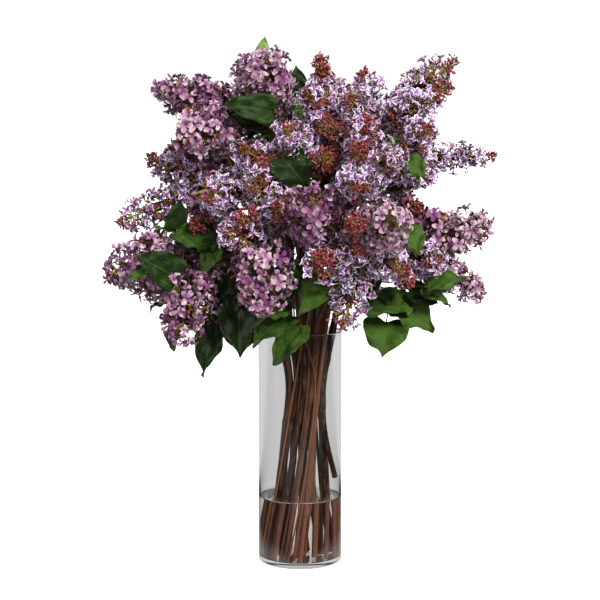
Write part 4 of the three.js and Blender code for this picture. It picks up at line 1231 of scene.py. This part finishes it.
def add_floor():
    """A pale floor out to the horizon. The camera sees it white and glowing a little, so that
    shadows on it stay faint. Through glass it is an even grey, and light bounces off it as off
    a darker one. Mirrored rays find it bright behind the vase, but not beside it, and a little
    bright in a band in front."""
    mesh = bpy.data.meshes.new("floor")
    mesh.from_pydata([(x * FLOOR_SIDE, y * FLOOR_SIDE, -FLOOR_GAP)
                      for x, y in ((-1, -1), (1, -1), (1, 1), (-1, 1))], [], [(0, 1, 2, 3)])
    tree, shader = new_finish("floor", 0.9, Base_Color=(0.8, 0.8, 0.8, 1),
                              Emission_Color=(1, 1, 1, 1), Emission_Strength=FLOOR_GLOW)
    rays = node(tree, "LightPath")
    x, y = node(tree, "SeparateXYZ", place_of(tree))[:2]
    beside = times(steps(maths("ABSOLUTE", x), 0.08, 0.22), steps(y, 0.6, 0.4))
    behind = less(steps(y, -0.14, -0.05), beside)
    before = times(steps(y, -1.2, -0.8), steps(y, -0.3, -0.5))
    behind = maths("MAXIMUM", behind, times(before, 0.3))
    even = node(tree, "Emission", None, seen_level(rays, behind))[0]
    grey = node(tree, "BsdfDiffuse", (FLOOR_BOUNCE, FLOOR_BOUNCE, FLOOR_BOUNCE, 1))[0]
    bounced = maths("GREATER_THAN", rays["Diffuse Depth"], 0.5)
    unseen = node(tree, "MixShader", bounced, even, grey)[0]
    choose(tree, rays["Is Camera Ray"], unseen, shader.outputs[0])
    mesh.materials.append(FINISHES["floor"])
    add_object("floor", mesh)


def add_lights():
    """White surroundings, a broad key light from the upper right in front, a weak one from the
    left and one from behind. Rays that haven't gone through glass or water also find the room
    bright overhead."""
    bpy.context.scene.world = world = bpy.data.worlds.new("studio")
    world.use_nodes = True
    tree = world.node_tree
    shown = tree.nodes["Background"].inputs
    shown["Color"].default_value = (1, 1, 1, 1)
    rays = node(tree, "LightPath")
    y, z = node(tree, "SeparateXYZ", node(tree, "TexCoord")["Generated"])[1:]
    dry = maths("LESS_THAN", rays["Transmission Depth"], 0.5)
    above = times(steps(z, 0.25, 0.6), times(dry, ROOM_ABOVE))
    level = maths("MAXIMUM", seen_level(rays, steps(y, -0.2, 0.4)), above)
    bounced = maths("GREATER_THAN", rays["Diffuse Depth"], 0.5)
    level = blend(bounced, level, SKY_BOUNCE, "FLOAT")
    link(blend(rays["Is Camera Ray"], level, SKY_SHOWN, "FLOAT"), shown["Strength"])
    for name, way, strength, spread in LAMPS:
        data = bpy.data.lights.new(name, "SUN")
        data.energy = strength
        data.angle = math.radians(spread)
        lamp = add_object(name, data)
        lamp.rotation_mode = "QUATERNION"
        lamp.rotation_quaternion = Vector(way).to_track_quat("Z", "Y")
        lamp.visible_glossy = lamp.visible_transmission = False


add_camera()
add_floor()
add_lights()

# ---- Pieces ----

make_piece("vase_glass", [vase_skin()], "glass", "vase")
make_piece("vase_water", [water_skin()], "water", "water")
stalks = [(finish, *row) for finish, rows in STALKS.items() for row in rows]
for number, row in enumerate(stalks, 1):
    make_piece(f"stalk_{number:02d}", [stalk_skin(*row)], "bark")
for number, (ring, place, fork, panicles) in enumerate(BRANCHES, 1):
    name, kind = f"{number:02d}", panicles[0][4]
    make_piece(f"branch_{name}", branch_skins(number), "bark", f"stem_{name}")
    make_piece(f"flowers_{name}", bloom_skins(number), f"petals_{kind}", f"bloom_{name}")
for number, row in enumerate(SHOOTS, 1):
    replaced = [f"leafy_shoot_{number:02d}"] if number <= OUTER_SHOOTS else []
    make_piece(f"leaves_{number:02d}", shoot_skins(row, number), "leaf", *replaced)

bpy.context.scene.view_settings.view_transform = "Standard"
